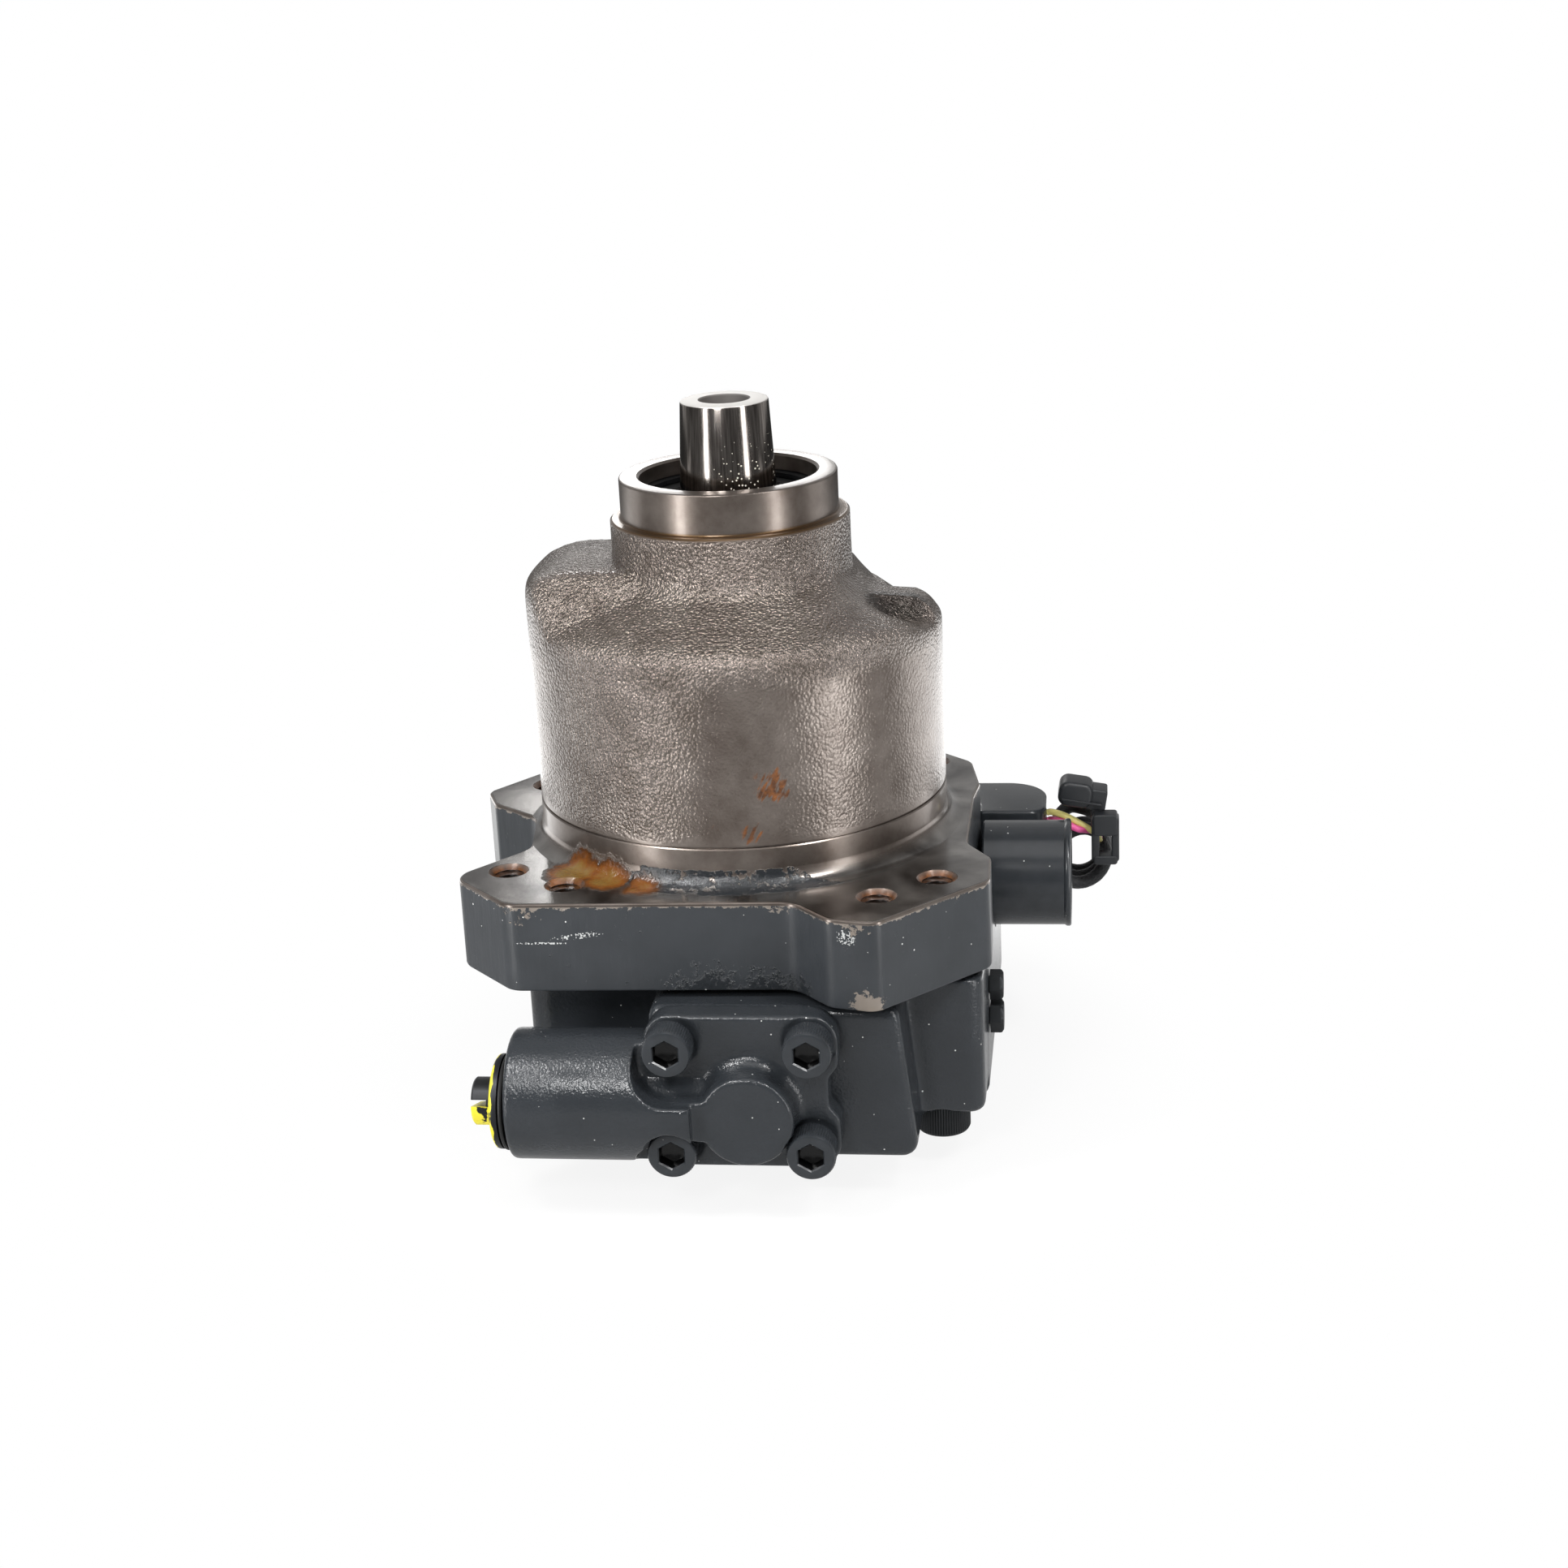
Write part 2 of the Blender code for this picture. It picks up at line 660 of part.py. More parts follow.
def main_housing():
    """The cast case: a turned shell with two shoulder ears, joined to the flange and hollowed."""
    tangent = math.pi / 2 - SHOULDER_SLOPE
    round_r = CASE_R - SHOULDER_ROUND
    flat_run = round_r + SHOULDER_ROUND * math.cos(tangent) - NECK_R
    round_z = NECK_BASE - flat_run * math.tan(SHOULDER_SLOPE) - SHOULDER_ROUND * math.sin(tangent)
    foot_r = PILOT_R + PILOT_FILLET
    profile = [
        (0, COLLAR_TOP),
        (COLLAR_R - CHAMFER, COLLAR_TOP),
        (COLLAR_R, COLLAR_TOP - CHAMFER),
        (COLLAR_R, NECK_TOP),
        (NECK_R, NECK_TOP),
        (NECK_R, NECK_BASE + NECK_FILLET),
        (NECK_R + NECK_FOOT, NECK_BASE - CHAMFER),
        *arc(round_r, round_z, SHOULDER_ROUND, tangent, 0, 5),
        (CASE_R, PILOT_TOP + GROOVE_WIDE / 2),
        (CASE_R - GROOVE_DEEP, PILOT_TOP + GROOVE_WIDE / 2),
        (CASE_R - GROOVE_DEEP, PILOT_TOP - GROOVE_WIDE / 2),
        (PILOT_R, PILOT_TOP - GROOVE_WIDE / 2),
        *arc(foot_r, FLANGE_TOP + PILOT_FILLET, PILOT_FILLET, math.pi, 1.5 * math.pi, 4),
        (foot_r, FLANGE_TOP - FLANGE_T / 2),
        (0, FLANGE_TOP - FLANGE_T / 2),
    ]
    housing = turned(profile, CASE_FACETS)
    for side, radius, spread, top in (
        (math.pi, LEFT_EAR_R, LEFT_EAR_HALF_ANGLE, LEFT_EAR_TOP),
        (0.0, RIGHT_EAR_R, RIGHT_EAR_HALF_ANGLE, RIGHT_EAR_TOP),
    ):
        inner = math.copysign(EAR_INNER_X, math.cos(side))
        rim = arc(0, 0, radius, side - spread, side + spread, 8)
        outline = rim + [(inner, rim[-1][1]), (inner, rim[0][1])]
        ear = slab(outline, round_z - SHOULDER_ROUND, round_z + SHOULDER_ROUND / 2 + top)
        join(housing, bevel(ear, EAR_ROUND, 2))
    join(housing, bevel(slab(rounded(FLANGE_CORNERS), FLANGE_BASE, FLANGE_TOP), FLANGE_EDGE))
    ring_r = SEAL_BORE_R + RETAINING_RING_DEEP
    cavity_side = CEILING - (CAVITY_R - SWASH_R) * math.tan(SHOULDER_SLOPE) - CHAMFER
    cut(
        housing,
        turned(
            (
                (0, COLLAR_TOP + OVER),
                (SEAL_BORE_R + CHAMFER + OVER, COLLAR_TOP + OVER),
                (SEAL_BORE_R, COLLAR_TOP - CHAMFER),
                (SEAL_BORE_R, RING_GROOVE_TOP),
                (ring_r, RING_GROOVE_TOP),
                (ring_r, RING_GROOVE_BASE),
                (SEAL_BORE_R, RING_GROOVE_BASE),
                (SEAL_BORE_R, LIP_TOP),
                (LIP_R, LIP_TOP),
                (LIP_R, LIP_BASE),
                (FRONT_BEARING_R + FIT, LIP_BASE),
                (FRONT_BEARING_R + FIT, CEILING),
                (SWASH_R + CEILING_FLAT, CEILING),
                (CAVITY_R, cavity_side),
                (CAVITY_R, FLANGE_BASE - OVER),
                (0, FLANGE_BASE - OVER),
            ),
            BODY_FACETS,
        ),
    )
    seat_x = CRADLE_INNER_X + CRADLE_WIDTH / 2
    for side in (-1, 1):
        half = CRADLE_WIDTH / 2 + 2 * FIT
        outline = rounded_box(-half, half, -SEAT_HALF_DEPTH, SEAT_HALF_DEPTH, CHAMFER)
        seat_at = place(side * seat_x, 0, 0)
        join(housing, slab(rounded(outline, 1), TILT_Z + SEAT_CLEAR, CEILING + OVER, seat_at))
    reach = CRADLE_INNER_X + CRADLE_WIDTH + 2 * FIT + OVER
    cut(housing, rod(SEAT_R, -reach, reach, BODY_FACETS, place(0, 0, TILT_Z, ALONG_X)))
    sink = MOUNT_HOLE_SINK_R - MOUNT_HOLE_R
    for x, y in MOUNT_HOLES:
        hole = (
            (0, FLANGE_TOP + OVER),
            (MOUNT_HOLE_SINK_R + OVER, FLANGE_TOP + OVER),
            (MOUNT_HOLE_R, FLANGE_TOP - sink),
            (MOUNT_HOLE_R, FLANGE_TOP - MOUNT_HOLE_DEPTH),
            (0, FLANGE_TOP - MOUNT_HOLE_DEPTH),
        )
        cut(housing, turned(hole, INNER_FACETS, place(x, y, 0)))
    for x, y in MAIN_BOLTS:
        bolt_top = FLANGE_BASE + MAIN_BOLT_GRIP
        cut(housing, rod(MAIN_BOLT_R + FIT, FLANGE_BASE - OVER, bolt_top, INNER_FACETS, place(x, y, 0)))
    return keep(housing, "main_housing", CAST_IRON)


def port_block():
    """The cast block with the ports, the rear bearing seat and the bores of both tilt pistons."""
    left, right = PORT_BLOCK_LEFT, PORT_BLOCK_RIGHT
    front, back = PORT_BLOCK_FRONT, PORT_BLOCK_BACK
    outline = (
        (left, front, PORT_BLOCK_CORNER),
        (COLUMN_LEFT, front, OVER),
        (COLUMN_LEFT, COLUMN_BACK, OVER),
        (right, COLUMN_BACK, OVER),
        (right, back, PORT_BLOCK_CORNER),
        (left, back, PORT_BLOCK_CORNER),
    )
    column_back = COLUMN_BACK + PAD_ROOT
    column = rounded_box(COLUMN_LEFT - PAD_ROOT, COLUMN_RIGHT, COLUMN_FRONT, column_back, COLUMN_CORNER)
    rough_top = BLOCK_TOP + 3 * PORT_BLOCK_EDGE
    block = bevel(slab(rounded(outline, 3), BLOCK_BASE, rough_top), PORT_BLOCK_EDGE, 2)
    join(block, bevel(slab(rounded(column, 3), COLUMN_FOOT, rough_top + OVER), PORT_BLOCK_EDGE, 2))
    # Only the lower edge stays rounded: the top is cut back to a sharp joint face.
    cut(block, rod(3 * right, BLOCK_TOP, rough_top + 2 * OVER, SMALL_FACETS))
    join(block, rod(BASE_PAD_R, 0, BLOCK_BASE + PORT_BLOCK_EDGE, BODY_FACETS))
    pad = (
        (PAD_LEFT, BLOCK_BASE + PAD_BASE_RISE, PAD_ROUND),
        (PAD_RIGHT_BASE, BLOCK_BASE + PAD_BASE_RISE, PAD_ROUND),
        (PAD_RIGHT_TOP, BLOCK_TOP - PAD_TOP_DROP, PAD_ROUND),
        (PAD_LEFT, BLOCK_TOP - PAD_TOP_DROP, PAD_ROUND),
    )
    facing = place(0, 0, 0, ALONG_FRONT)
    join(block, slab(rounded(pad), -PORT_BLOCK_FRONT - PAD_ROOT, -PAD_FRONT, facing))
    pad_low, pad_high = PORT_Z - PORT_PAD_HALF_Z, PORT_Z + PORT_PAD_HALF_Z
    back_pad = rounded_box(-PORT_PAD_HALF_X, PORT_PAD_HALF_X, pad_low, pad_high, PORT_PAD_ROUND)
    back_face = PORT_BLOCK_BACK + PORT_PAD_T
    join(block, slab(rounded(back_pad), -back_face, -PORT_BLOCK_BACK + PAD_ROOT, facing))
    above = BLOCK_TOP + OVER
    cut(block, rod(REAR_BEARING_R + FIT, REAR_BEARING_BASE - FIT, above, BODY_FACETS))
    for side in (-1, 1):
        port_at = place(side * PORT_X, 0, PORT_Z, ALONG_FRONT)
        cut(block, rod(PORT_R, -back_face - OVER, PORT_DEPTH - back_face, SMALL_FACETS, port_at))
        cut(block, rod(PASSAGE_R, PORT_Z, above, INNER_FACETS, place(side * PASSAGE_X, PASSAGE_Y, 0)))
        for bolt_x in (-PORT_BOLT_X, PORT_BOLT_X):
            for bolt_z in (-PORT_BOLT_Z, PORT_BOLT_Z):
                at = place(side * PORT_X + bolt_x, 0, PORT_Z + bolt_z, ALONG_FRONT)
                cut(block, rod(PORT_BOLT_R, -back_face - OVER, PORT_BOLT_DEPTH - back_face, INNER_FACETS, at))
    for y, radius, depth in (
        (-TILT_PISTON_Y, SERVO_R, SERVO_BORE_DEPTH),
        (TILT_PISTON_Y, BIAS_R, BIAS_BORE_DEPTH),
    ):
        cut(block, rod(radius + FIT, BLOCK_TOP - depth, above, INNER_FACETS, place(0, y, 0)))
    for x, y, seat in main_bolts():
        cut(block, rod(MAIN_BOLT_R + FIT, seat - OVER, above, INNER_FACETS, place(x, y, 0)))
        if seat > COLUMN_FOOT:
            spot_r = MAIN_BOLT_HEAD_R + SPOT_FACE_PLAY
            cut(block, rod(spot_r, BLOCK_BASE - OVER, seat, SMALL_FACETS, place(x, y, 0)))
    for x, z in control_screws():
        at = place(x, PAD_FRONT, z, ALONG_FRONT)
        cut(block, rod(SCREW_R + FIT, -SCREW_GRIP - 2 * OVER, OVER, INNER_FACETS, at))
    can_at = place(0, CAN_Y, CAN_Z, ALONG_X)
    cut(block, rod(CAN_RIM_R + FIT, CAN_LEFT - FIT, right + OVER, BODY_FACETS, can_at))
    for _, z, _ in SIDE_PLUGS:
        at = place(right, SIDE_PLUG_Y, z, ALONG_X)
        cut(block, rod(SIDE_PLUG_R + FIT, -SIDE_PLUG_GRIP - OVER, OVER, INNER_FACETS, at))
    drain_at = place(left, DRAIN_PLUG_Y, DRAIN_PLUG_Z, ALONG_LEFT)
    cut(block, rod(DRAIN_THREAD_R + FIT, -DRAIN_PLUG_GRIP - OVER, OVER, INNER_FACETS, drain_at))
    return keep(block, "port_block", GREY_PAINT)


def main_bolts():
    """Place of each main bolt with the height of its seat: the first one stands in the column."""
    for number, (x, y) in enumerate(MAIN_BOLTS):
        yield x, y, COLUMN_FOOT + COLUMN_SEAT_SINK if number == 0 else BLOCK_BASE


def control_screws():
    """Centres of the control housing's four screws, as x and z."""
    return [
        (CONTROL_MID_X + sx * SCREW_SPACING_X / 2, CONTROL_MID_Z + sz * SCREW_SPACING_Z / 2)
        for sz in (1, -1)
        for sx in (-1, 1)
    ]


def control_housing():
    """One casting: the screw plate, the round boss, the valve barrel and the bar that joins them."""
    left = CONTROL_MID_X - SCREW_SPACING_X / 2 - SCREW_LOBE_R
    right = CONTROL_MID_X + SCREW_SPACING_X / 2 + SCREW_LOBE_R
    low = CONTROL_MID_Z - SCREW_SPACING_Z / 2 - SCREW_LOBE_R
    high = CONTROL_MID_Z + SCREW_SPACING_Z / 2 + SCREW_LOBE_R
    waist = right - CONTROL_WAIST
    neck = CONTROL_WAIST_HALF_H
    run = CONTROL_WAIST_RUN
    outline = (
        (left, low, SCREW_LOBE_R),
        (right, low, SCREW_LOBE_R),
        (right, CONTROL_MID_Z - neck - run, run),
        (waist, CONTROL_MID_Z - neck, run),
        (waist, CONTROL_MID_Z + neck, run),
        (right, CONTROL_MID_Z + neck + run, run),
        (right, high, SCREW_LOBE_R),
        (left, high, SCREW_LOBE_R),
    )
    front = place(0, 0, 0, ALONG_FRONT)
    plate = bevel(slab(rounded(outline), -CONTROL_BACK, -CONTROL_FACE, front), CONTROL_EDGE)
    boss_top = -CONTROL_FACE + BOSS_H
    boss_at = place(BOSS_X, 0, BOSS_Z, ALONG_FRONT)
    join(plate, bevel(rod(BOSS_R, -CONTROL_BACK + CHAMFER, boss_top, BODY_FACETS, boss_at), CHAMFER))
    barrel_end = PAD_LEFT - FIT
    barrel = place(0, BARREL_Y, BARREL_Z, ALONG_X)
    join(plate, bevel(rod(BARREL_R, BARREL_LEFT, barrel_end, BODY_FACETS, barrel), CHAMFER))
    bar = place(0, SPOOL_Y, SPOOL_Z + NECK_BAR_RISE, ALONG_X)
    join(plate, rod(NECK_BAR_R, barrel_end - NECK_BAR_ROOT, BOSS_X, SMALL_FACETS, bar))
    # The bar's back stays in front of the port block's pad.
    behind = rounded_box(barrel_end, BOSS_X + BOSS_R, CONTROL_BACK, CONTROL_BACK + 2 * BARREL_R, SMALL_EDGE)
    cut(plate, slab(rounded(behind, 1), 0, BLOCK_TOP + OVER))
    for x, z in control_screws():
        at = place(x, 0, z, ALONG_FRONT)
        cut(plate, rod(SCREW_R + FIT, -CONTROL_BACK - OVER, -CONTROL_FACE + OVER, INNER_FACETS, at))
        cut(plate, rod(SCREW_HEAD_R + 2 * FIT, -CONTROL_FACE, boss_top + SCREW_HEAD_H, SMALL_FACETS, at))
    spool_axis = place(0, SPOOL_Y, SPOOL_Z, ALONG_X)
    cut(plate, rod(SPOOL_R + FIT, SPOOL_LEFT - OVER, SPOOL_END + SPOOL_END_ROOM, INNER_FACETS, spool_axis))
    cut(plate, rod(SPOOL_ROOM_R, BARREL_LEFT - OVER, SPOOL_LEFT + SPOOL_END_ROOM, SMALL_FACETS, spool_axis))
    return keep(plate, "control_housing", GREY_PAINT)


def cap_screw(name, radius, head_radius, head_height, key, length, placement):
    """A socket head cap screw. Local z leaves the seat on the head's side."""
    profile = (
        (0, head_height),
        (head_radius - SMALL_EDGE, head_height),
        (head_radius, head_height - SMALL_EDGE),
        (head_radius, 0),
        (radius, 0),
        (radius, -length + CHAMFER),
        (radius - CHAMFER, -length),
        (0, -length),
    )
    screw = turned(profile, SMALL_FACETS, placement)
    cut(screw, hexagon(key, head_height / 2, head_height + OVER, placement))
    return keep(screw, name, BLACK_STEEL)


def fasteners():
    upside_down = Matrix.Rotation(math.pi, 4, "X")
    for number, (x, y, seat) in enumerate(main_bolts(), 1):
        at = place(x, y, seat - FIT, upside_down)
        length = FLANGE_BASE + MAIN_BOLT_GRIP - OVER - (seat - FIT)
        name = f"main_bolt_{number}"
        cap_screw(name, MAIN_BOLT_R, MAIN_BOLT_HEAD_R, MAIN_BOLT_HEAD_H, MAIN_BOLT_KEY, length, at)
    for number, (x, z) in enumerate(control_screws(), 1):
        at = place(x, CONTROL_FACE - FIT, z, ALONG_FRONT)
        length = CONTROL_T + FIT + SCREW_GRIP
        cap_screw(f"control_screw_{number}", SCREW_R, SCREW_HEAD_R, SCREW_HEAD_H, SCREW_KEY, length, at)
    for name, z, key in SIDE_PLUGS:
        at = place(PORT_BLOCK_RIGHT + FIT, SIDE_PLUG_Y, z, ALONG_X)
        plug = rod(SIDE_PLUG_R, -SIDE_PLUG_GRIP, OVER, INNER_FACETS, at)
        join(plug, bevel(hexagon(key, 0, SIDE_PLUG_OUT, at), SMALL_EDGE))
        keep(plug, name, BLACK_STEEL)
    at = place(PORT_BLOCK_LEFT - FIT, DRAIN_PLUG_Y, DRAIN_PLUG_Z, ALONG_LEFT)
    head = (DRAIN_PLUG_R, DRAIN_PLUG_OUT, DRAIN_PLUG_KEY)
    cap_screw("drain_plug", DRAIN_THREAD_R, *head, DRAIN_PLUG_GRIP, at)


def seals_and_bearings():
    gasket = tube_ring(GASKET_R, GASKET_R - GASKET_WIDE, GASKET_BASE, GASKET_BASE + GASKET_T, BODY_FACETS)
    keep(gasket, "housing_gasket", GASKET_PAPER)
    seal_r = SEAL_BORE_R - FIT
    lip_r = SHAFT_JOURNAL_R + FIT
    top = SEAL_BASE + SEAL_H
    seal = turned(
        (
            (seal_r, top),
            (seal_r, SEAL_BASE),
            (lip_r + SEAL_LIP, SEAL_BASE),
            (lip_r, SEAL_BASE + SEAL_LIP),
            (lip_r, SEAL_BASE + 2 * SEAL_LIP),
            (lip_r + 1.5 * SEAL_LIP, top - SEAL_LIP),
            (lip_r + 2 * SEAL_LIP, top),
        ),
        BODY_FACETS,
        ring=True,
    )
    keep(seal, "shaft_seal", RUBBER)
    ring_r = SEAL_BORE_R + RETAINING_RING_DEEP - FIT
    ring_base = RING_GROOVE_BASE + FIT
    inner_r = ring_r - RETAINING_RING_WIDE
    ring = tube_ring(ring_r, inner_r, ring_base, ring_base + RETAINING_RING_T, BODY_FACETS)
    half = RETAINING_RING_GAP / 2
    gap = rounded_box(-half, half, ring_r - 2 * RETAINING_RING_WIDE, ring_r + OVER, SMALL_EDGE)
    cut(ring, slab(rounded(gap, 1), ring_base - OVER, ring_base + RETAINING_RING_T + OVER))
    keep(ring, "seal_retaining_ring", BLACK_STEEL)
    for name, outer, inner, low, height in (
        ("front_bearing", FRONT_BEARING_R, SHAFT_JOURNAL_R, FRONT_BEARING_BASE, FRONT_BEARING_H),
        ("rear_bearing", REAR_BEARING_R, SHAFT_TAIL_R, REAR_BEARING_BASE, REAR_BEARING_H),
    ):
        race = outer - CUP_T
        cup = (
            (outer, low + height),
            (outer, low),
            (race + RACE_TAPER, low),
            (race - RACE_TAPER, low + height),
        )
        keep(turned(cup, BODY_FACETS, ring=True), f"{name}_cup", STEEL)
        cone = (
            (race - RACE_TAPER - 2 * FIT, low + height),
            (race + RACE_TAPER - 2 * FIT, low),
            (inner + FIT, low),
            (inner + FIT, low + height),
        )
        keep(turned(cone, BODY_FACETS, ring=True), f"{name}_cone", STEEL)


def drive_shaft():
    """Turned from bar: the tapered end with its tapped hole, journals, a collar and the drive length."""
    taper_foot = RING_GROOVE_BASE + SHAFT_TAPER_FOOT
    hole_foot = SHAFT_TOP - SHAFT_HOLE_DEPTH
    collar_top = FRONT_BEARING_BASE - FIT
    profile = (
        (0, hole_foot),
        (SHAFT_HOLE_R, hole_foot),
        (SHAFT_HOLE_R, SHAFT_TOP - SHAFT_HOLE_SINK),
        (SHAFT_HOLE_R + SHAFT_HOLE_SINK, SHAFT_TOP),
        (SHAFT_END_R - SHAFT_EDGE, SHAFT_TOP),
        (SHAFT_END_R, SHAFT_TOP - SHAFT_EDGE),
        (SHAFT_END_R + SHAFT_TAPER * (SHAFT_TOP - taper_foot), taper_foot),
        (SHAFT_JOURNAL_R, taper_foot - SHAFT_STEP),
        (SHAFT_JOURNAL_R, collar_top),
        (SHAFT_COLLAR_R, collar_top),
        (SHAFT_COLLAR_R, collar_top - SHAFT_COLLAR_H),
        (SHAFT_DRIVE_R, collar_top - SHAFT_COLLAR_H - SHAFT_COLLAR_SLOPE),
        (SHAFT_DRIVE_R, VALVE_PLATE_BASE),
        (SHAFT_TAIL_R, VALVE_PLATE_BASE - SHAFT_TAIL_SLOPE),
        (SHAFT_TAIL_R, REAR_BEARING_BASE),
        (0, REAR_BEARING_BASE),
    )
    return keep(turned(profile, BODY_FACETS), "drive_shaft", STEEL)


def piston_places(radius):
    """x and y of each place on a circle of pistons, bores or slippers, the first at the back."""
    angles = [math.pi / 2 + 2 * math.pi * i / PISTONS for i in range(PISTONS)]
    return [(radius * math.cos(a), radius * math.sin(a)) for a in angles]


def rotating_group():
    block_profile = (
        (BLOCK_R, CYLINDER_TOP),
        (BLOCK_R, CYLINDER_BASE),
        (SHAFT_DRIVE_R + FIT, CYLINDER_BASE),
        (SHAFT_DRIVE_R + FIT, CYLINDER_TOP - SPRING_ROOM_DEPTH),
        (SPRING_ROOM_R, CYLINDER_TOP - SPRING_ROOM_DEPTH),
        (SPRING_ROOM_R, CYLINDER_TOP),
    )
    block = turned(block_profile, BODY_FACETS, ring=True)
    bore_foot = CYLINDER_TOP - PISTON_BORE_DEPTH
    bore = (
        (0, CYLINDER_TOP + OVER),
        (PISTON_R + PISTON_PLAY, CYLINDER_TOP + OVER),
        (PISTON_R + PISTON_PLAY, bore_foot),
        (BLOCK_PORT_R, bore_foot),
        (BLOCK_PORT_R, CYLINDER_BASE - OVER),
        (0, CYLINDER_BASE - OVER),
    )
    for x, y in piston_places(PITCH_R):
        cut(block, turned(bore, SMALL_FACETS, place(x, y, 0)))
    keep(block, "cylinder_block", STEEL)

    spring_length = SPRING_ROOM_DEPTH - GUIDE_SLEEVE - 2 * FIT
    spring_at = place(0, 0, CYLINDER_TOP - SPRING_ROOM_DEPTH + FIT)
    coil = (BLOCK_SPRING_R, BLOCK_SPRING_WIRE_R, BLOCK_SPRING_TURNS)
    coil_spring("block_spring", *coil, spring_length, spring_at)
    top_angle = math.asin(GUIDE_UP / GUIDE_R)
    foot_angle = -math.asin(GUIDE_DOWN / GUIDE_R)
    sleeve_r = GUIDE_R * math.cos(foot_angle)
    guide = turned(
        (
            *arc(0, TILT_Z, GUIDE_R, top_angle, foot_angle, 4),
            (sleeve_r, CYLINDER_TOP - GUIDE_SLEEVE),
            (SHAFT_DRIVE_R + FIT, CYLINDER_TOP - GUIDE_SLEEVE),
            (SHAFT_DRIVE_R + FIT, TILT_Z + GUIDE_UP),
        ),
        BODY_FACETS,
        ring=True,
    )
    keep(guide, "ball_guide", STEEL)

    neck_angle = -math.acos(PISTON_NECK_R / BALL_R)
    shoulder = CYLINDER_TOP + PISTON_OUT
    foot_low = TILT_Z + SLIPPER_LIFT - SLIPPER_FOOT_T
    mouth_angle = -math.asin(SLIPPER_LIP / SOCKET_R)
    piston_profile = (
        *arc(0, TILT_Z, BALL_R, math.pi / 2, neck_angle, 4),
        (PISTON_NECK_R, shoulder + PISTON_R - PISTON_NECK_R),
        (PISTON_R, shoulder),
        (PISTON_R, shoulder - PISTON_LENGTH),
        (0, shoulder - PISTON_LENGTH),
    )
    slipper_profile = (
        (0, TILT_Z + SLIPPER_LIFT),
        (SLIPPER_R, TILT_Z + SLIPPER_LIFT),
        (SLIPPER_R, foot_low),
        (SLIPPER_NECK_R, foot_low),
        (SLIPPER_NECK_R, TILT_Z - SLIPPER_LIP),
        *arc(0, TILT_Z, SOCKET_R, mouth_angle, math.pi / 2, 4),
    )
    for number, (x, y) in enumerate(piston_places(SLIPPER_PITCH_R), 1):
        keep(turned(piston_profile, INNER_FACETS, place(x, y, 0)), f"piston_{number}", STEEL)
        keep(turned(slipper_profile, INNER_FACETS, place(x, y, 0)), f"slipper_{number}", BRONZE)

    retainer_top = foot_low - FIT
    retainer_base = retainer_top - RETAINER_T
    retainer = tube_ring(RETAINER_R, GUIDE_R + RETAINER_PLAY, retainer_base, retainer_top, BODY_FACETS)
    hole_r = SLIPPER_NECK_R + RETAINER_HOLE_PLAY
    for x, y in piston_places(SLIPPER_PITCH_R):
        cut(retainer, rod(hole_r, retainer_base - OVER, retainer_top + OVER, INNER_FACETS, place(x, y, 0)))
    keep(retainer, "retainer_plate", STEEL)


def valve_plate():
    """The lapped plate between the block and the ports, with one kidney slot on each side."""
    top = VALVE_PLATE_BASE + VALVE_PLATE_T
    plate = tube_ring(VALVE_PLATE_R, VALVE_PLATE_BORE_R, VALVE_PLATE_BASE, top, BODY_FACETS)
    for side in (0.0, math.pi):
        first = side - KIDNEY_HALF_ANGLE
        last = side + KIDNEY_HALF_ANGLE
        outline = arc(0, 0, PITCH_R + KIDNEY_HALF_WIDTH, first, last, ARC_STEPS)
        outline += arc(0, 0, PITCH_R - KIDNEY_HALF_WIDTH, last, first, ARC_STEPS)
        cut(plate, slab(outline, VALVE_PLATE_BASE - OVER, top + OVER))
    return keep(plate, "valve_plate", BRONZE)


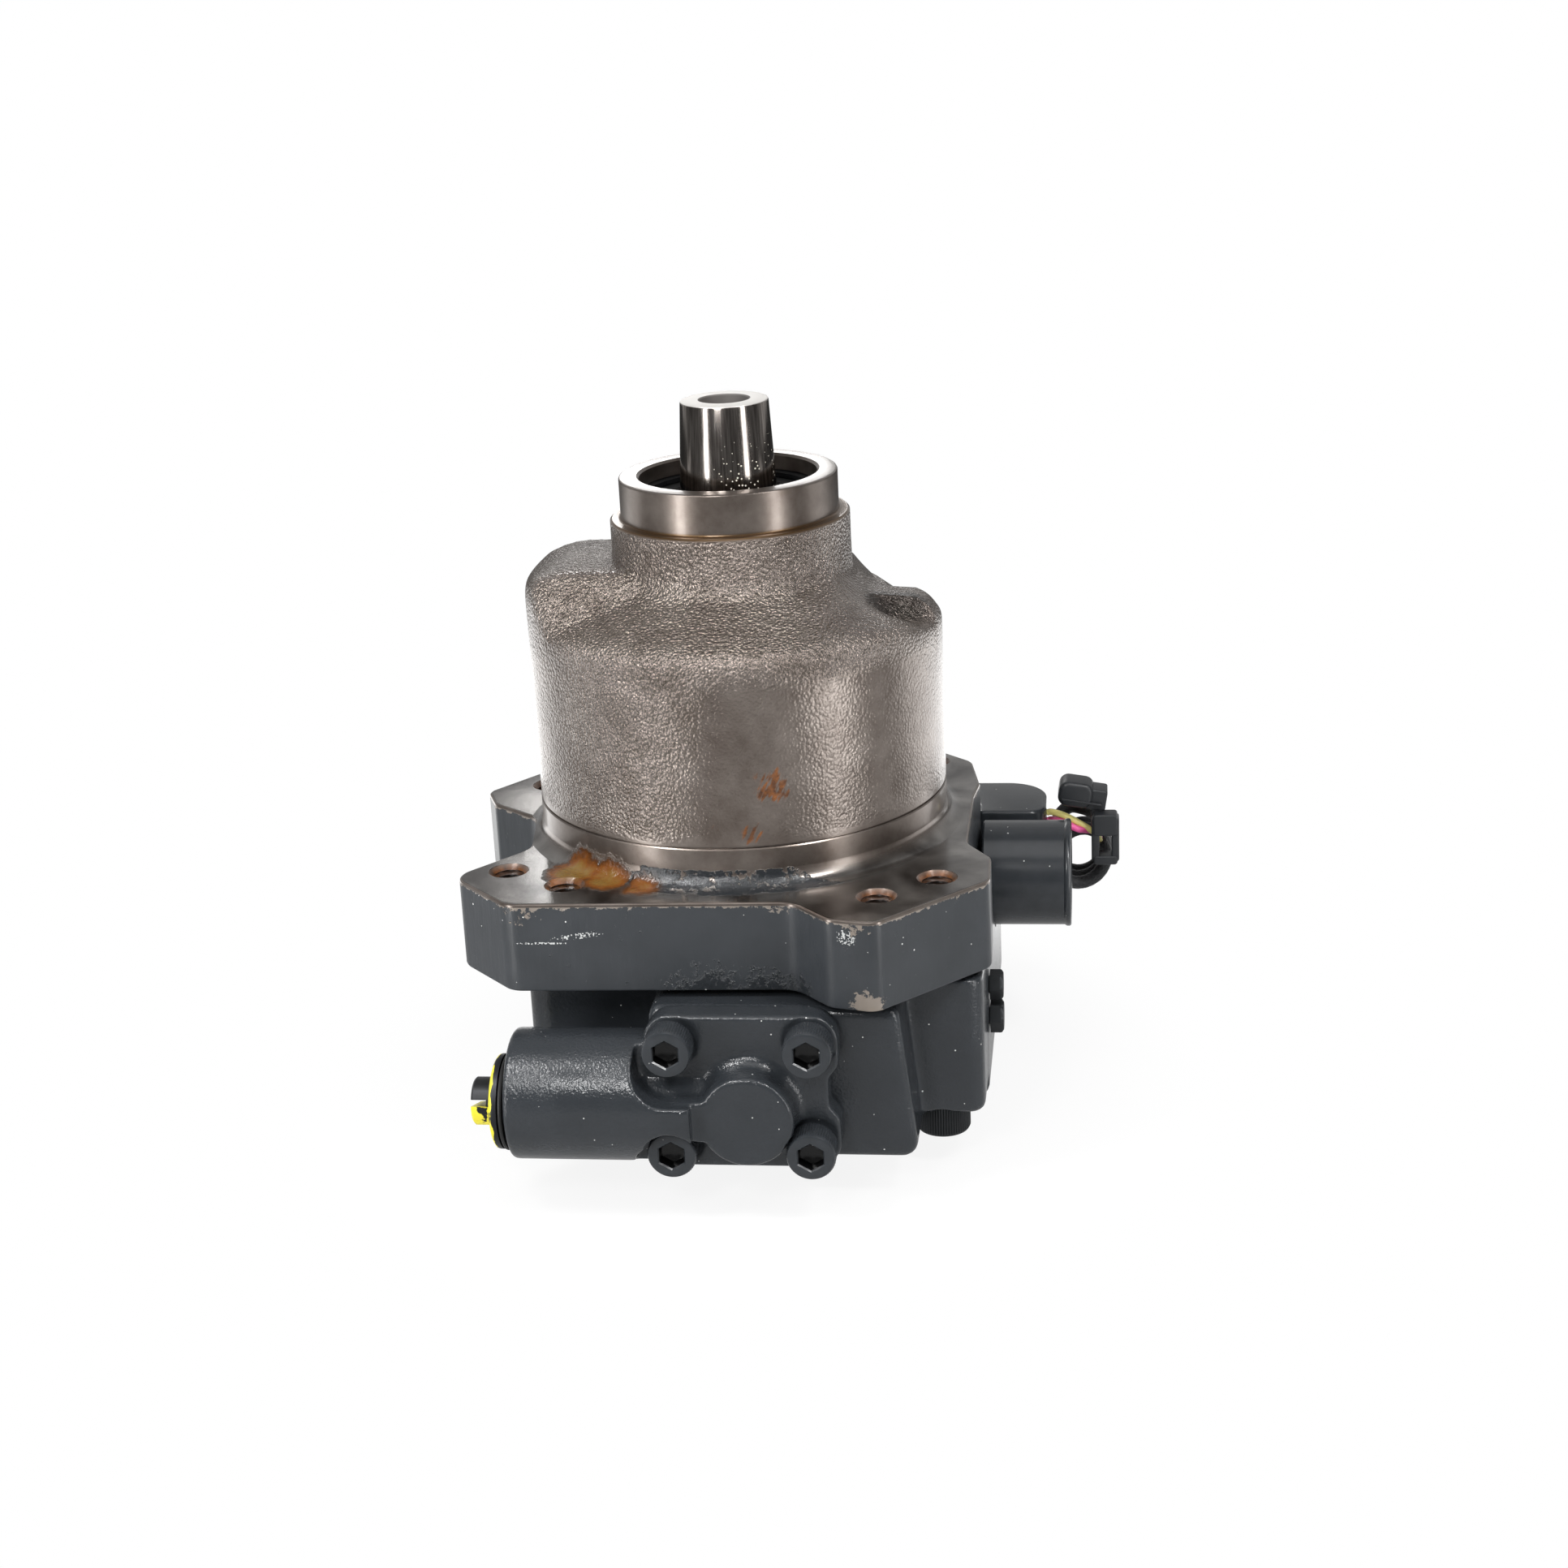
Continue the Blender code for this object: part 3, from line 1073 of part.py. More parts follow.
def swash_group():
    top = SWASH_FACE + SWASH_T
    plate = tube_ring(SWASH_R, SWASH_BORE_R, SWASH_FACE, top, BODY_FACETS)
    start = math.pi / 2 - CRADLE_HALF_ANGLE
    rail = arc(0, 0, CRADLE_R, start, math.pi - start, ARC_STEPS)
    rail_foot = top - TILT_Z - CRADLE_ROOT
    rail += [(rail[-1][0], rail_foot), (rail[0][0], rail_foot)]
    for low in (CRADLE_INNER_X, -CRADLE_INNER_X - CRADLE_WIDTH):
        join(plate, slab(rail, low, low + CRADLE_WIDTH, place(0, 0, TILT_Z, ALONG_X)))
    for side in (-1, 1):
        near, far = sorted((side * (SWASH_R - LUG_ROOT), side * LUG_REACH))
        lug = rounded_box(-LUG_HALF_WIDTH, LUG_HALF_WIDTH, near, far, LUG_ROUND)
        join(plate, slab(rounded(lug, 2), SWASH_FACE, top))
    keep(plate, "swash_plate", STEEL)

    first = math.pi / 2 - SHELL_HALF_ANGLE
    last = math.pi / 2 + SHELL_HALF_ANGLE
    outline = arc(0, 0, CRADLE_R + FIT + SHELL_T, first, last, ARC_STEPS)
    outline += arc(0, 0, CRADLE_R + FIT, last, first, ARC_STEPS)
    for name, low in (
        ("cradle_shell_right", CRADLE_INNER_X),
        ("cradle_shell_left", -CRADLE_INNER_X - CRADLE_WIDTH),
    ):
        keep(slab(outline, low, low + CRADLE_WIDTH, place(0, 0, TILT_Z, ALONG_X)), name, BRONZE)

    tip = SWASH_FACE - FIT - TILT_ROD_R
    servo_foot = BLOCK_TOP - SERVO_BORE_DEPTH + SERVO_START
    bias_foot = BLOCK_TOP - BIAS_BORE_DEPTH + FIT + BIAS_SPRING_LENGTH + FIT
    for name, y, radius, foot, length in (
        ("servo_piston", -TILT_PISTON_Y, SERVO_R, servo_foot, SERVO_LENGTH),
        ("bias_piston", TILT_PISTON_Y, BIAS_R, bias_foot, BIAS_LENGTH),
    ):
        profile = (
            *arc(0, tip, TILT_ROD_R, math.pi / 2, 0, 4),
            (TILT_ROD_R, foot + length),
            (radius, foot + length),
            (radius, foot),
            (0, foot),
        )
        keep(turned(profile, INNER_FACETS, place(0, y, 0)), name, STEEL)
    at = place(0, TILT_PISTON_Y, BLOCK_TOP - BIAS_BORE_DEPTH + FIT)
    coil = (BIAS_SPRING_R, BIAS_SPRING_WIRE_R, BIAS_SPRING_TURNS)
    coil_spring("bias_spring", *coil, BIAS_SPRING_LENGTH, at)


def control_parts():
    axis = place(0, SPOOL_Y, SPOOL_Z, ALONG_X)
    groove_r = SPOOL_R - SPOOL_GROOVE
    spool = [(0, SPOOL_END), (SPOOL_R, SPOOL_END)]
    for low, high in SPOOL_GROOVES:
        spool += [
            (SPOOL_R, SPOOL_LEFT + high * SPOOL_LENGTH),
            (groove_r, SPOOL_LEFT + high * SPOOL_LENGTH),
            (groove_r, SPOOL_LEFT + low * SPOOL_LENGTH),
            (SPOOL_R, SPOOL_LEFT + low * SPOOL_LENGTH),
        ]
    spool += [(SPOOL_R, SPOOL_LEFT), (0, SPOOL_LEFT)]
    keep(turned(spool, INNER_FACETS, axis), "control_spool", STEEL)
    spring_left = SPOOL_LEFT - FIT - SPOOL_SPRING_LENGTH
    at = place(spring_left, SPOOL_Y, SPOOL_Z, ALONG_X)
    coil = (SPOOL_SPRING_R, SPOOL_SPRING_WIRE_R, SPOOL_SPRING_TURNS)
    coil_spring("spool_spring", *coil, SPOOL_SPRING_LENGTH, at)

    ring_right = BARREL_LEFT - FIT
    ring_left = ring_right - SEAL_RING_T
    half = SEAL_RING_T / 2
    ring_bore = ADJUSTER_R + FIT
    ring_profile = arc(SEAL_RING_R - half, ring_left + half, half, math.pi / 2, -math.pi / 2, 4)
    ring_profile += [(ring_bore, ring_left), (ring_bore, ring_right)]
    keep(turned(ring_profile, SMALL_FACETS, axis, ring=True), "adjuster_seal_ring", RUBBER)
    nut_right = ring_left - FIT
    nut_left = nut_right - LOCK_NUT_T
    nut = bevel(hexagon(LOCK_NUT_KEY, nut_left, nut_right, axis), SMALL_EDGE)
    cut(nut, rod(ADJUSTER_R + FIT, nut_left - OVER, nut_right + OVER, SMALL_FACETS, axis))
    keep(nut, "adjuster_lock_nut", BLACK_STEEL)
    end = nut_left - ADJUSTER_OUT
    screw = turned(
        (
            (0, spring_left - FIT),
            (ADJUSTER_R, spring_left - FIT),
            (ADJUSTER_R, end + SMALL_EDGE),
            (ADJUSTER_R - SMALL_EDGE, end),
            (0, end),
        ),
        SMALL_FACETS,
        axis,
    )
    slot_end = ADJUSTER_R + OVER
    half = ADJUSTER_SLOT / 2
    slot = rounded_box(-slot_end, slot_end, -half, half, ADJUSTER_SLOT_ROUND)
    cut(screw, slab(rounded(slot, 1), end - OVER, end + ADJUSTER_SLOT_DEEP, axis))
    keep(screw, "adjusting_screw", BLACK_STEEL)


def solenoid():
    axis = place(0, CAN_Y, CAN_Z, ALONG_X)
    right = CAN_LEFT + CAN_LENGTH
    can = turned(
        (
            (0, right),
            (CAN_RIM_R - CHAMFER, right),
            (CAN_RIM_R, right - CHAMFER),
            (CAN_RIM_R, right - CAN_RIM_T),
            (CAN_R, right - CAN_RIM_T - CAN_RIM_FOOT),
            (CAN_R, CAN_LEFT),
            (CAN_BORE_R, CAN_LEFT),
            (CAN_BORE_R, CAN_LEFT + CAN_BORE_DEPTH),
            (0, CAN_LEFT + CAN_BORE_DEPTH),
        ),
        BODY_FACETS,
        axis,
    )
    keep(can, "solenoid_can", GREY_PAINT)
    plunger_left = CAN_LEFT + PLUNGER_TRAVEL
    plunger = rod(CAN_BORE_R - FIT, plunger_left, plunger_left + PLUNGER_LENGTH, SMALL_FACETS, axis)
    keep(plunger, "solenoid_plunger", STEEL)
    corners = (
        (BOX_LEFT, BOX_FRONT, BOX_FRONT_ROUND),
        (BOX_RIGHT, BOX_FRONT, BOX_CORNER),
        (BOX_RIGHT, BOX_BACK, BOX_CORNER),
        (BOX_LEFT, BOX_BACK, BOX_BACK_ROUND),
    )
    box = bevel(slab(rounded(corners, 6), BLOCK_TOP + FIT, BOX_TOP), BOX_EDGE)
    under_left = PORT_BLOCK_RIGHT + FIT
    under = (
        (under_left, BOX_FRONT, CHAMFER),
        (BOX_RIGHT, BOX_FRONT, BOX_CORNER),
        (BOX_RIGHT, BOX_BACK, BOX_CORNER),
        (under_left, BOX_BACK, BOX_FRONT_ROUND),
    )
    join(box, bevel(slab(rounded(under, 6), BOX_BOTTOM, BOX_TOP - BOX_LID), BOX_EDGE))
    keep(box, "terminal_box", GREY_PAINT)


def leads_and_connector():
    """Two leads from the terminal box into a braided sleeve, which is wound up and ends at the connector."""
    route = []
    for i in range(COIL_STEPS + 1):
        turns = COIL_TURNS * i / COIL_STEPS
        angle = COIL_START - 2 * math.pi * turns
        out = COIL_R * math.cos(angle)
        y = COIL_FRONT + COIL_STEP * turns + out * math.sin(COIL_YAW)
        route.append(Vector((COIL_X + out * math.cos(COIL_YAW), y, COIL_Z + COIL_R * math.sin(angle))))
    route += [Vector((x, y, BLOCK_TOP + rise)) for x, y, rise in SLEEVE_TAIL]
    plug_in = Vector((route[-1].x, LATCH_BACK + FIT, route[-1].z))
    sleeve_points = [*smooth_route(route, 2), plug_in]
    print_gap("harness_sleeve", sleeve_points, COIL_STEPS // 4, SLEEVE_R)
    keep(wire(sleeve_points, SLEEVE_R, 2), "harness_sleeve", BLACK_PLASTIC)

    mouth = route[0]
    back = (mouth - sleeve_points[1]).normalized()
    for (name, shift, points), material in zip(LEAD_ROUTES, (YELLOW_WIRE, PINK_WIRE)):
        aside = Vector((0, shift, 0))
        path = [Vector((BOX_RIGHT + FIT + out, y, BLOCK_TOP + rise)) for out, y, rise in points]
        path += [mouth + back * LEAD_STRAIGHT + aside, mouth + back * 2 * FIT + aside]
        keep(wire(smooth_route(path, 4), WIRE_R, 2), name, material)

    front = place(0, 0, 0, ALONG_FRONT)
    body = rounded_box(CONNECTOR_LEFT, CONNECTOR_RIGHT, CONNECTOR_BASE, CONNECTOR_TOP, CONNECTOR_ROUND)
    connector = slab(rounded(body), -CONNECTOR_BACK, -CONNECTOR_FRONT, front)
    keep(bevel(connector, CONNECTOR_EDGE, 2), "connector_body", BLACK_PLASTIC)
    outline = rounded_box(LATCH_LEFT, LATCH_RIGHT, LATCH_BASE, CONNECTOR_BASE - FIT, CONNECTOR_EDGE)
    latch = slab(rounded(outline), -LATCH_BACK, -LATCH_FRONT, front)
    left = (LATCH_LEFT + LATCH_RIGHT - LATCH_WINDOW_X) / 2
    low = LATCH_BASE + LATCH_BAR
    window = rounded_box(left, left + LATCH_WINDOW_X, low, low + LATCH_WINDOW_Z, SMALL_EDGE)
    cut(latch, slab(rounded(window, 1), -LATCH_BACK - OVER, -LATCH_FRONT + OVER, front))
    keep(latch, "connector_latch", BLACK_PLASTIC)


main_housing()
port_block()
control_housing()
fasteners()
seals_and_bearings()
drive_shaft()
rotating_group()
valve_plate()
swash_group()
control_parts()
solenoid()
leads_and_connector()
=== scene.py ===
"""Looks of a swash-plate axial piston pump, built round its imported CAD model.

The frame is the CAD's: +Z runs up the shaft and -Y is the side with the control housing.
Sizes are written in millimetres and turned into metres where a mesh is made.
"""

import math

import bmesh
import bpy
from mathutils import Matrix, Vector


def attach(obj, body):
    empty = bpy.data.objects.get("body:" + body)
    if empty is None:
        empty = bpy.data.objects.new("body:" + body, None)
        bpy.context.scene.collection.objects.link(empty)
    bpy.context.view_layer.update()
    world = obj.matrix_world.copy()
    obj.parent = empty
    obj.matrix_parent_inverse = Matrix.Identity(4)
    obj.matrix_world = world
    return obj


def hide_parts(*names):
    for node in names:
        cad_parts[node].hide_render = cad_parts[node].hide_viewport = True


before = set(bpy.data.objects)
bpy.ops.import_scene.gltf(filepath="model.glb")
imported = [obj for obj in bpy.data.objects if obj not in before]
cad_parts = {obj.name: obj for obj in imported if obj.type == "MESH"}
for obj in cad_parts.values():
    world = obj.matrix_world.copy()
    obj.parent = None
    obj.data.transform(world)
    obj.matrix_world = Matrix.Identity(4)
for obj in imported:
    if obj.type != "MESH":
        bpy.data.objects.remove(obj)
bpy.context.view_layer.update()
scene = bpy.context.scene

# Camera. The pump is seen from a little above and right of its front and leans three degrees in the picture.
# Target, distance and lens put the case, flange and control housing where the photo has them.
AZIMUTH, ELEVATION, ROLL = (math.radians(a) for a in (8.4, 18.9, -3.0))
TARGET = Vector((0, 0, 0.10962))
DISTANCE = 0.910
flat = math.cos(ELEVATION)
back = Vector((math.sin(AZIMUTH) * flat, -math.cos(AZIMUTH) * flat, math.sin(ELEVATION)))
camera = bpy.data.objects.new("camera", bpy.data.cameras.new("camera"))
camera.data.lens = 60.19
camera.data.shift_x, camera.data.shift_y = 0.0254, 0.001
camera.data.clip_start = 0.01
turn = back.to_track_quat("Z", "Y").to_matrix() @ Matrix.Rotation(ROLL, 3, "Z")
camera.matrix_world = Matrix.LocRotScale(TARGET + DISTANCE * back, turn.to_quaternion(), None)
scene.collection.objects.link(camera)
scene.camera = camera
scene.view_settings.view_transform = "Standard"


# Studio. A white sweep stands behind and below the pump in a dim room.
# Two tall soft boxes give the two bright stripes on the shaft and the bands on the case.
def linear(code):
    """Linear colour of an sRGB hex code."""
    parts = [int(code[i : i + 2], 16) / 255 for i in (1, 3, 5)]
    return (*(c / 12.92 if c <= 0.04045 else ((c + 0.055) / 1.055) ** 2.4 for c in parts), 1.0)


def add(tree, kind, settings=None, links=None):
    """One node. Settings are properties, socket values or the stops of a colour ramp, by position.

    Links feed its sockets, each from an output or from the first output of a node.
    """
    node = tree.nodes.new("ShaderNode" + kind)
    for key, value in (settings or {}).items():
        if key == "ramp":
            stops = node.color_ramp.elements
            while len(stops) < len(value):
                stops.new(1.0)
            for stop, (position, code) in zip(stops, value.items()):
                stop.position, stop.color = position, linear(code)
        elif isinstance(key, str) and hasattr(node, key):
            setattr(node, key, value)
        else:
            node.inputs[key].default_value = value
    for key, source in (links or {}).items():
        tree.links.new(getattr(source, "outputs", [source])[0], node.inputs[key])
    return node


def new_tree(name):
    """An empty material of that name and its node tree."""
    made = bpy.data.materials.new(name)
    made.use_nodes = True
    made.node_tree.nodes.clear()
    return made, made.node_tree


world = bpy.data.worlds.new("studio")
scene.world = world
world.use_nodes = True
sky = world.node_tree
sky.nodes.clear()
rays = add(sky, "LightPath").outputs
toward = add(sky, "SeparateXYZ", links={0: add(sky, "TexCoord").outputs["Generated"]}).outputs
sweep = add(
    sky,
    "MapRange",
    {"interpolation_type": "SMOOTHSTEP", "From Min": 0.1, "From Max": 0.6, "To Min": 0.12, "To Max": 0.5},
    {"Value": toward["Y"]},
)
seen = add(sky, "Math", {"operation": "MAXIMUM"}, {0: rays["Is Camera Ray"], 1: rays["Is Transmission Ray"]})
level = add(sky, "Math", {"operation": "MAXIMUM"}, {0: seen, 1: sweep})
backdrop = add(sky, "Background", {"Color": linear("#ffffff")}, {"Strength": level})
add(sky, "OutputWorld", links={"Surface": backdrop})

FLOOR_SIZE = 12.0
floor_mesh = bpy.data.meshes.new("floor")
corner = FLOOR_SIZE / 2
corners = [(sx * corner, sy * corner, 0) for sx, sy in ((-1, -1), (1, -1), (1, 1), (-1, 1))]
floor_mesh.from_pydata(corners, [], [(0, 1, 2, 3)])
floor = bpy.data.objects.new("floor", floor_mesh)
floor.location.z = -0.0002
scene.collection.objects.link(floor)
white_floor, tree = new_tree("white_paper")
# Paper that glows like a lit sweep: plain white to the eye further out, dimmer in the pump's shadow close by.
# Metal sees it as the dim room lights it, darker far off, with a bright belt behind that whitens the edges.
place = add(tree, "TexCoord").outputs["Object"]
behind = add(tree, "SeparateXYZ", links={0: place}).outputs["Y"]
begins = add(tree, "MapRange", {"From Min": 0.08, "From Max": 0.22}, {"Value": behind})
belt = add(tree, "MapRange", {"From Min": 0.66, "From Max": 0.50, "To Max": 1.7}, {"Value": behind})
belt = add(tree, "Math", {"operation": "MULTIPLY_ADD", 2: 0.54}, {0: begins, 1: belt})
near = add(tree, "VectorMath", {"operation": "LENGTH"}, {0: place})
dim = add(
    tree,
    "MapRange",
    {"From Min": 0.75, "From Max": 1.15, "To Min": 1.0, "To Max": 0.3},
    {"Value": near.outputs["Value"]},
)
past = add(
    tree, "MapRange", {"From Min": 0.55, "From Max": 0.8, "To Min": 1.0, "To Max": 0.3}, {"Value": behind}
)
for fall_off in (dim, past):
    belt = add(tree, "Math", {"operation": "MULTIPLY"}, {0: belt, 1: fall_off})
far = add(
    tree,
    "MapRange",
    {"interpolation_type": "SMOOTHSTEP", "From Min": 0.1, "From Max": 0.17, "To Min": 0.88},
    {"Value": near.outputs["Value"]},
)
rays = add(tree, "LightPath").outputs
direct = add(tree, "Math", {"operation": "MAXIMUM"}, {0: rays["Is Camera Ray"], 1: rays["Is Glossy Ray"]})
share = add(tree, "Math", {"operation": "MULTIPLY"}, {0: far, 1: direct})
strength = add(tree, "MapRange", {"To Max": 1.0}, {"Value": rays["Is Camera Ray"], "To Min": belt})
paper = add(tree, "BsdfDiffuse", {"Color": linear("#f4f4f4")})
glow = add(tree, "Emission", {"Color": linear("#ffffff")}, {"Strength": strength})
mixed = add(tree, "MixShader", links={0: share, 1: paper, 2: glow})
add(tree, "OutputMaterial", links={"Surface": mixed})
floor.data.materials.append(white_floor)

# Each light: name, azimuth from the front toward +X in degrees, distance, height of its middle, width, length
# and watts. The card behind lights faces that look up; the small high boxes give the glints.
for name, azimuth, distance, height, wide, tall, watts in (
    ("strip_left", -42.0, 0.36, 0.45, 0.06, 0.9, 1.5),
    ("strip_right", 55.0, 0.36, 0.45, 0.06, 0.9, 1.15),
    ("back_card", 191.4, 0.606, 0.352, 0.2, 0.07, 0.26),
    ("high_left", -47.0, 0.45, 0.60, 0.12, 0.12, 1.5),
    ("high_right", 50.0, 0.45, 0.60, 0.12, 0.12, 1.4),
    ("key_box", -10.0, 0.60, 0.47, 0.14, 0.14, 1.5),
    ("top_box", 0.0, 0.35, 1.30, 0.7, 0.9, 2.6),
):
    lamp = bpy.data.lights.new(name, "AREA")
    lamp.shape, lamp.size, lamp.size_y, lamp.energy = "RECTANGLE", wide, tall, watts
    light = bpy.data.objects.new(name, lamp)
    bearing = math.radians(azimuth)
    light.location = (math.sin(bearing) * distance, -math.cos(bearing) * distance, height)
    light.rotation_mode = "QUATERNION"
    aim = Vector((0, 0, 0.1 if height > tall else height))
    light.rotation_quaternion = (light.location - aim).to_track_quat("Z", "Y")
    light.visible_camera = False
    scene.collection.objects.link(light)

# Port block. A cast iron block with the ports in its back, a pad for the control housing in front and a
# column round the front right bolt. It is painted with the housing bolted on.
MM = 0.001
SHARP = 32.0  # An edge that turns by more degrees than this stays sharp.


def solid(name, rings, closed=False, place=Matrix(), sharp=SHARP):
    """A mesh from rings of points in millimetres. A ring of one point is a tip, and open ends are capped."""
    points, faces, starts = [], [], []
    for ring in rings:
        starts.append(len(points))
        points += [(place @ Vector(p)) * MM for p in ring]
    pairs = list(zip(range(len(rings)), range(1, len(rings))))
    if closed:
        pairs.append((len(rings) - 1, 0))
    for a, b in pairs:
        na, nb = len(rings[a]), len(rings[b])
        n = max(na, nb)
        for i in range(n):
            j = (i + 1) % n
            quad = [starts[a] + i % na, starts[a] + j % na, starts[b] + j % nb, starts[b] + i % nb]
            faces.append(list(dict.fromkeys(quad)))
    if not closed:
        for end in (0, -1):
            if len(rings[end]) > 1:
                faces.append([starts[end] + i for i in range(len(rings[end]))])
    mesh = bpy.data.meshes.new(name)
    mesh.from_pydata(points, [], faces)
    made = bmesh.new()
    made.from_mesh(mesh)
    bmesh.ops.recalc_face_normals(made, faces=made.faces)
    made.to_mesh(mesh)
    made.free()
    mesh.shade_smooth()
    mesh.set_sharp_from_angle(angle=math.radians(sharp))
    obj = bpy.data.objects.new(name, mesh)
    scene.collection.objects.link(obj)
    return obj


def put(obj, material, node=None, body="case"):
    """Gives a piece its finish and the body it moves with, and hides the CAD node that it stands for."""
    obj.data.materials.clear()
    obj.data.materials.append(material)
    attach(obj, body)
    if node:
        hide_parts(node)
    return obj


def rounded(corners, steps=8):
    """An outline through corners of x, y and rounding, taken counter-clockwise."""
    outline = []
    for i, (x, y, r) in enumerate(corners):
        here = Vector((x, y))
        before = (Vector(corners[i - 1][:2]) - here).normalized()
        after = (Vector(corners[(i + 1) % len(corners)][:2]) - here).normalized()
        half = math.acos(max(-1.0, min(1.0, before.dot(after)))) / 2
        reach = r / math.tan(half)
        start, end = here + before * reach, here + after * reach
        centre = here + (before + after).normalized() * (r / math.sin(half))
        first = math.atan2(start.y - centre.y, start.x - centre.x)
        last = math.atan2(end.y - centre.y, end.x - centre.x)
        sweep_by = (last - first + math.pi) % (2 * math.pi) - math.pi
        for k in range(steps + 1):
            angle = first + sweep_by * k / steps
            outline.append((centre.x + r * math.cos(angle), centre.y + r * math.sin(angle)))
    return outline


def box_corners(left, right, low, high, r):
    return ((left, low, r), (right, low, r), (right, high, r), (left, high, r))


def prism(name, outline, low, high, place=Matrix(), edge=0.0, steps=4, sharp=SHARP):
    """An outline drawn out along its own z, with both rims rounded by the edge."""
    count = len(outline)
    inward = []
    for i in range(count):
        run = Vector(outline[(i + 1) % count]) - Vector(outline[i - 1])
        inward.append(Vector((-run.y, run.x)).normalized())
    levels = []
    for k in range(steps + 1 if edge else 1):
        t = math.pi / 2 * k / steps
        levels.append((edge * (1 - math.sin(t)), edge * (1 - math.cos(t))))
    stack = [(inset, low + rise) for inset, rise in levels]
    stack += [(inset, high - rise) for inset, rise in reversed(levels)]
    rings = [
        [(x + n.x * inset, y + n.y * inset, z) for (x, y), n in zip(outline, inward)] for inset, z in stack
    ]
    return solid(name, rings, place=place, sharp=sharp)


def merge(name, *objs):
    """One object from several closed ones that lie in each other."""
    made = bmesh.new()
    for obj in objs:
        made.from_mesh(obj.data)
        bpy.data.objects.remove(obj)
    mesh = bpy.data.meshes.new(name)
    made.to_mesh(mesh)
    made.free()
    obj = bpy.data.objects.new(name, mesh)
    scene.collection.objects.link(obj)
    return obj


def at(x, y, z, turn_to=Matrix()):
    return Matrix.Translation((x, y, z)) @ turn_to


ALONG_FRONT = Matrix.Rotation(math.pi / 2, 4, "X")
ALONG_X = Matrix.Rotation(math.pi / 2, 4, "Y")


def settle(obj):
    """Makes what the modifiers show the object's own mesh."""
    mesh = bpy.data.meshes.new_from_object(obj.evaluated_get(bpy.context.evaluated_depsgraph_get()))
    obj.modifiers.clear()
    obj.data = mesh
    mesh.name = obj.name
    return obj


def cut(obj, *cutters):
    """Takes the cutters' shapes out of the object."""
    tool = merge("cutters", *cutters)
    take = obj.modifiers.new("take", "BOOLEAN")
    take.operation, take.object, take.solver, take.use_self = "DIFFERENCE", tool, "EXACT", True
    settle(obj)
    bpy.data.objects.remove(tool)
    return obj


def cast(name, shells, cutters, voxel, rounds):
    """One casting: the shells run together, the cutters taken away and every edge softened."""
    whole = cut(merge(name, *shells), *cutters)
    grid = whole.modifiers.new("grid", "REMESH")
    grid.mode, grid.voxel_size = "VOXEL", voxel * MM
    soft = whole.modifiers.new("soft", "SMOOTH")
    soft.factor, soft.iterations = 0.5, rounds
    settle(whole).data.shade_smooth()
    return whole


def turned(name, profile, place=Matrix(), sides=96, closed=False, sharp=SHARP):
    """A turned shape: each point of the profile is a radius, or a function of the angle, and a height."""
    rings = []
    for radius, z in profile:
        if radius == 0:
            rings.append([(0, 0, z)])
            continue
        ring = []
        for k in range(sides):
            angle = 2 * math.pi * k / sides
            r = radius(angle) if callable(radius) else radius
            ring.append((r * math.cos(angle), r * math.sin(angle), z))
        rings.append(ring)
    return solid(name, rings, closed, place, sharp)


def rod(radius, low, high, place=Matrix(), sides=64):
    return turned("rod", ((0, low), (radius, low), (radius, high), (0, high)), place, sides)


def dusted(tree, where, colour, spacing, least):
    """The colour under white dust: grains in cells that many mm wide, where a draw is over the least."""
    grains = add(tree, "TexVoronoi", {"Scale": 1000 / spacing}, {"Vector": where})
    lot = add(tree, "SeparateXYZ", links={0: grains.outputs["Color"]})
    size = add(tree, "MapRange", {"From Min": least, "To Max": 0.1}, {"Value": lot})
    grain = add(tree, "Math", {"operation": "LESS_THAN"}, {0: grains.outputs["Distance"], 1: size})
    white = linear("#c9cac8")
    return add(tree, "MixRGB", {"Color2": white}, {"Fac": grain, "Color1": colour})


grey_paint, tree = new_tree("anthracite_paint")
# Semi-gloss dark grey paint on rough castings: soft waves and cast grain break up the shine, and dust shows
# white. The grain is drawn coarser than foundry sand leaves it, so that it shows.
where = add(tree, "TexCoord").outputs["Object"]
waves = add(tree, "TexNoise", {"Scale": 1000 / 3.5, "Detail": 2.0}, {"Vector": where})
grain = add(tree, "TexNoise", {"Scale": 1000 / 0.9, "Detail": 2.0, "Roughness": 0.6}, {"Vector": where})
patches = add(tree, "TexNoise", {"Scale": 1000 / 22, "Detail": 3.0}, {"Vector": where})
rough_here = add(
    tree, "MapRange", {"From Min": 0.42, "From Max": 0.6, "To Min": 0.55, "To Max": 1.0}, {"Value": patches}
)
grain_here = add(tree, "Math", {"operation": "MULTIPLY"}, {0: grain, 1: rough_here})
bump = add(tree, "Bump", {"Strength": 0.5, "Distance": 0.0001}, {"Height": waves})
bump = add(tree, "Bump", {"Strength": 1.0, "Distance": 0.00022}, {"Height": grain_here, "Normal": bump})
tone = add(tree, "ValToRGB", {"ramp": {0.0: "#25282b", 1.0: "#323539"}}, {"Fac": patches})
colour = dusted(tree, where, tone, 2.8, 0.55)
surface = add(tree, "BsdfPrincipled", {"Roughness": 0.18}, {"Base Color": colour, "Normal": bump})
add(tree, "OutputMaterial", links={"Surface": surface})

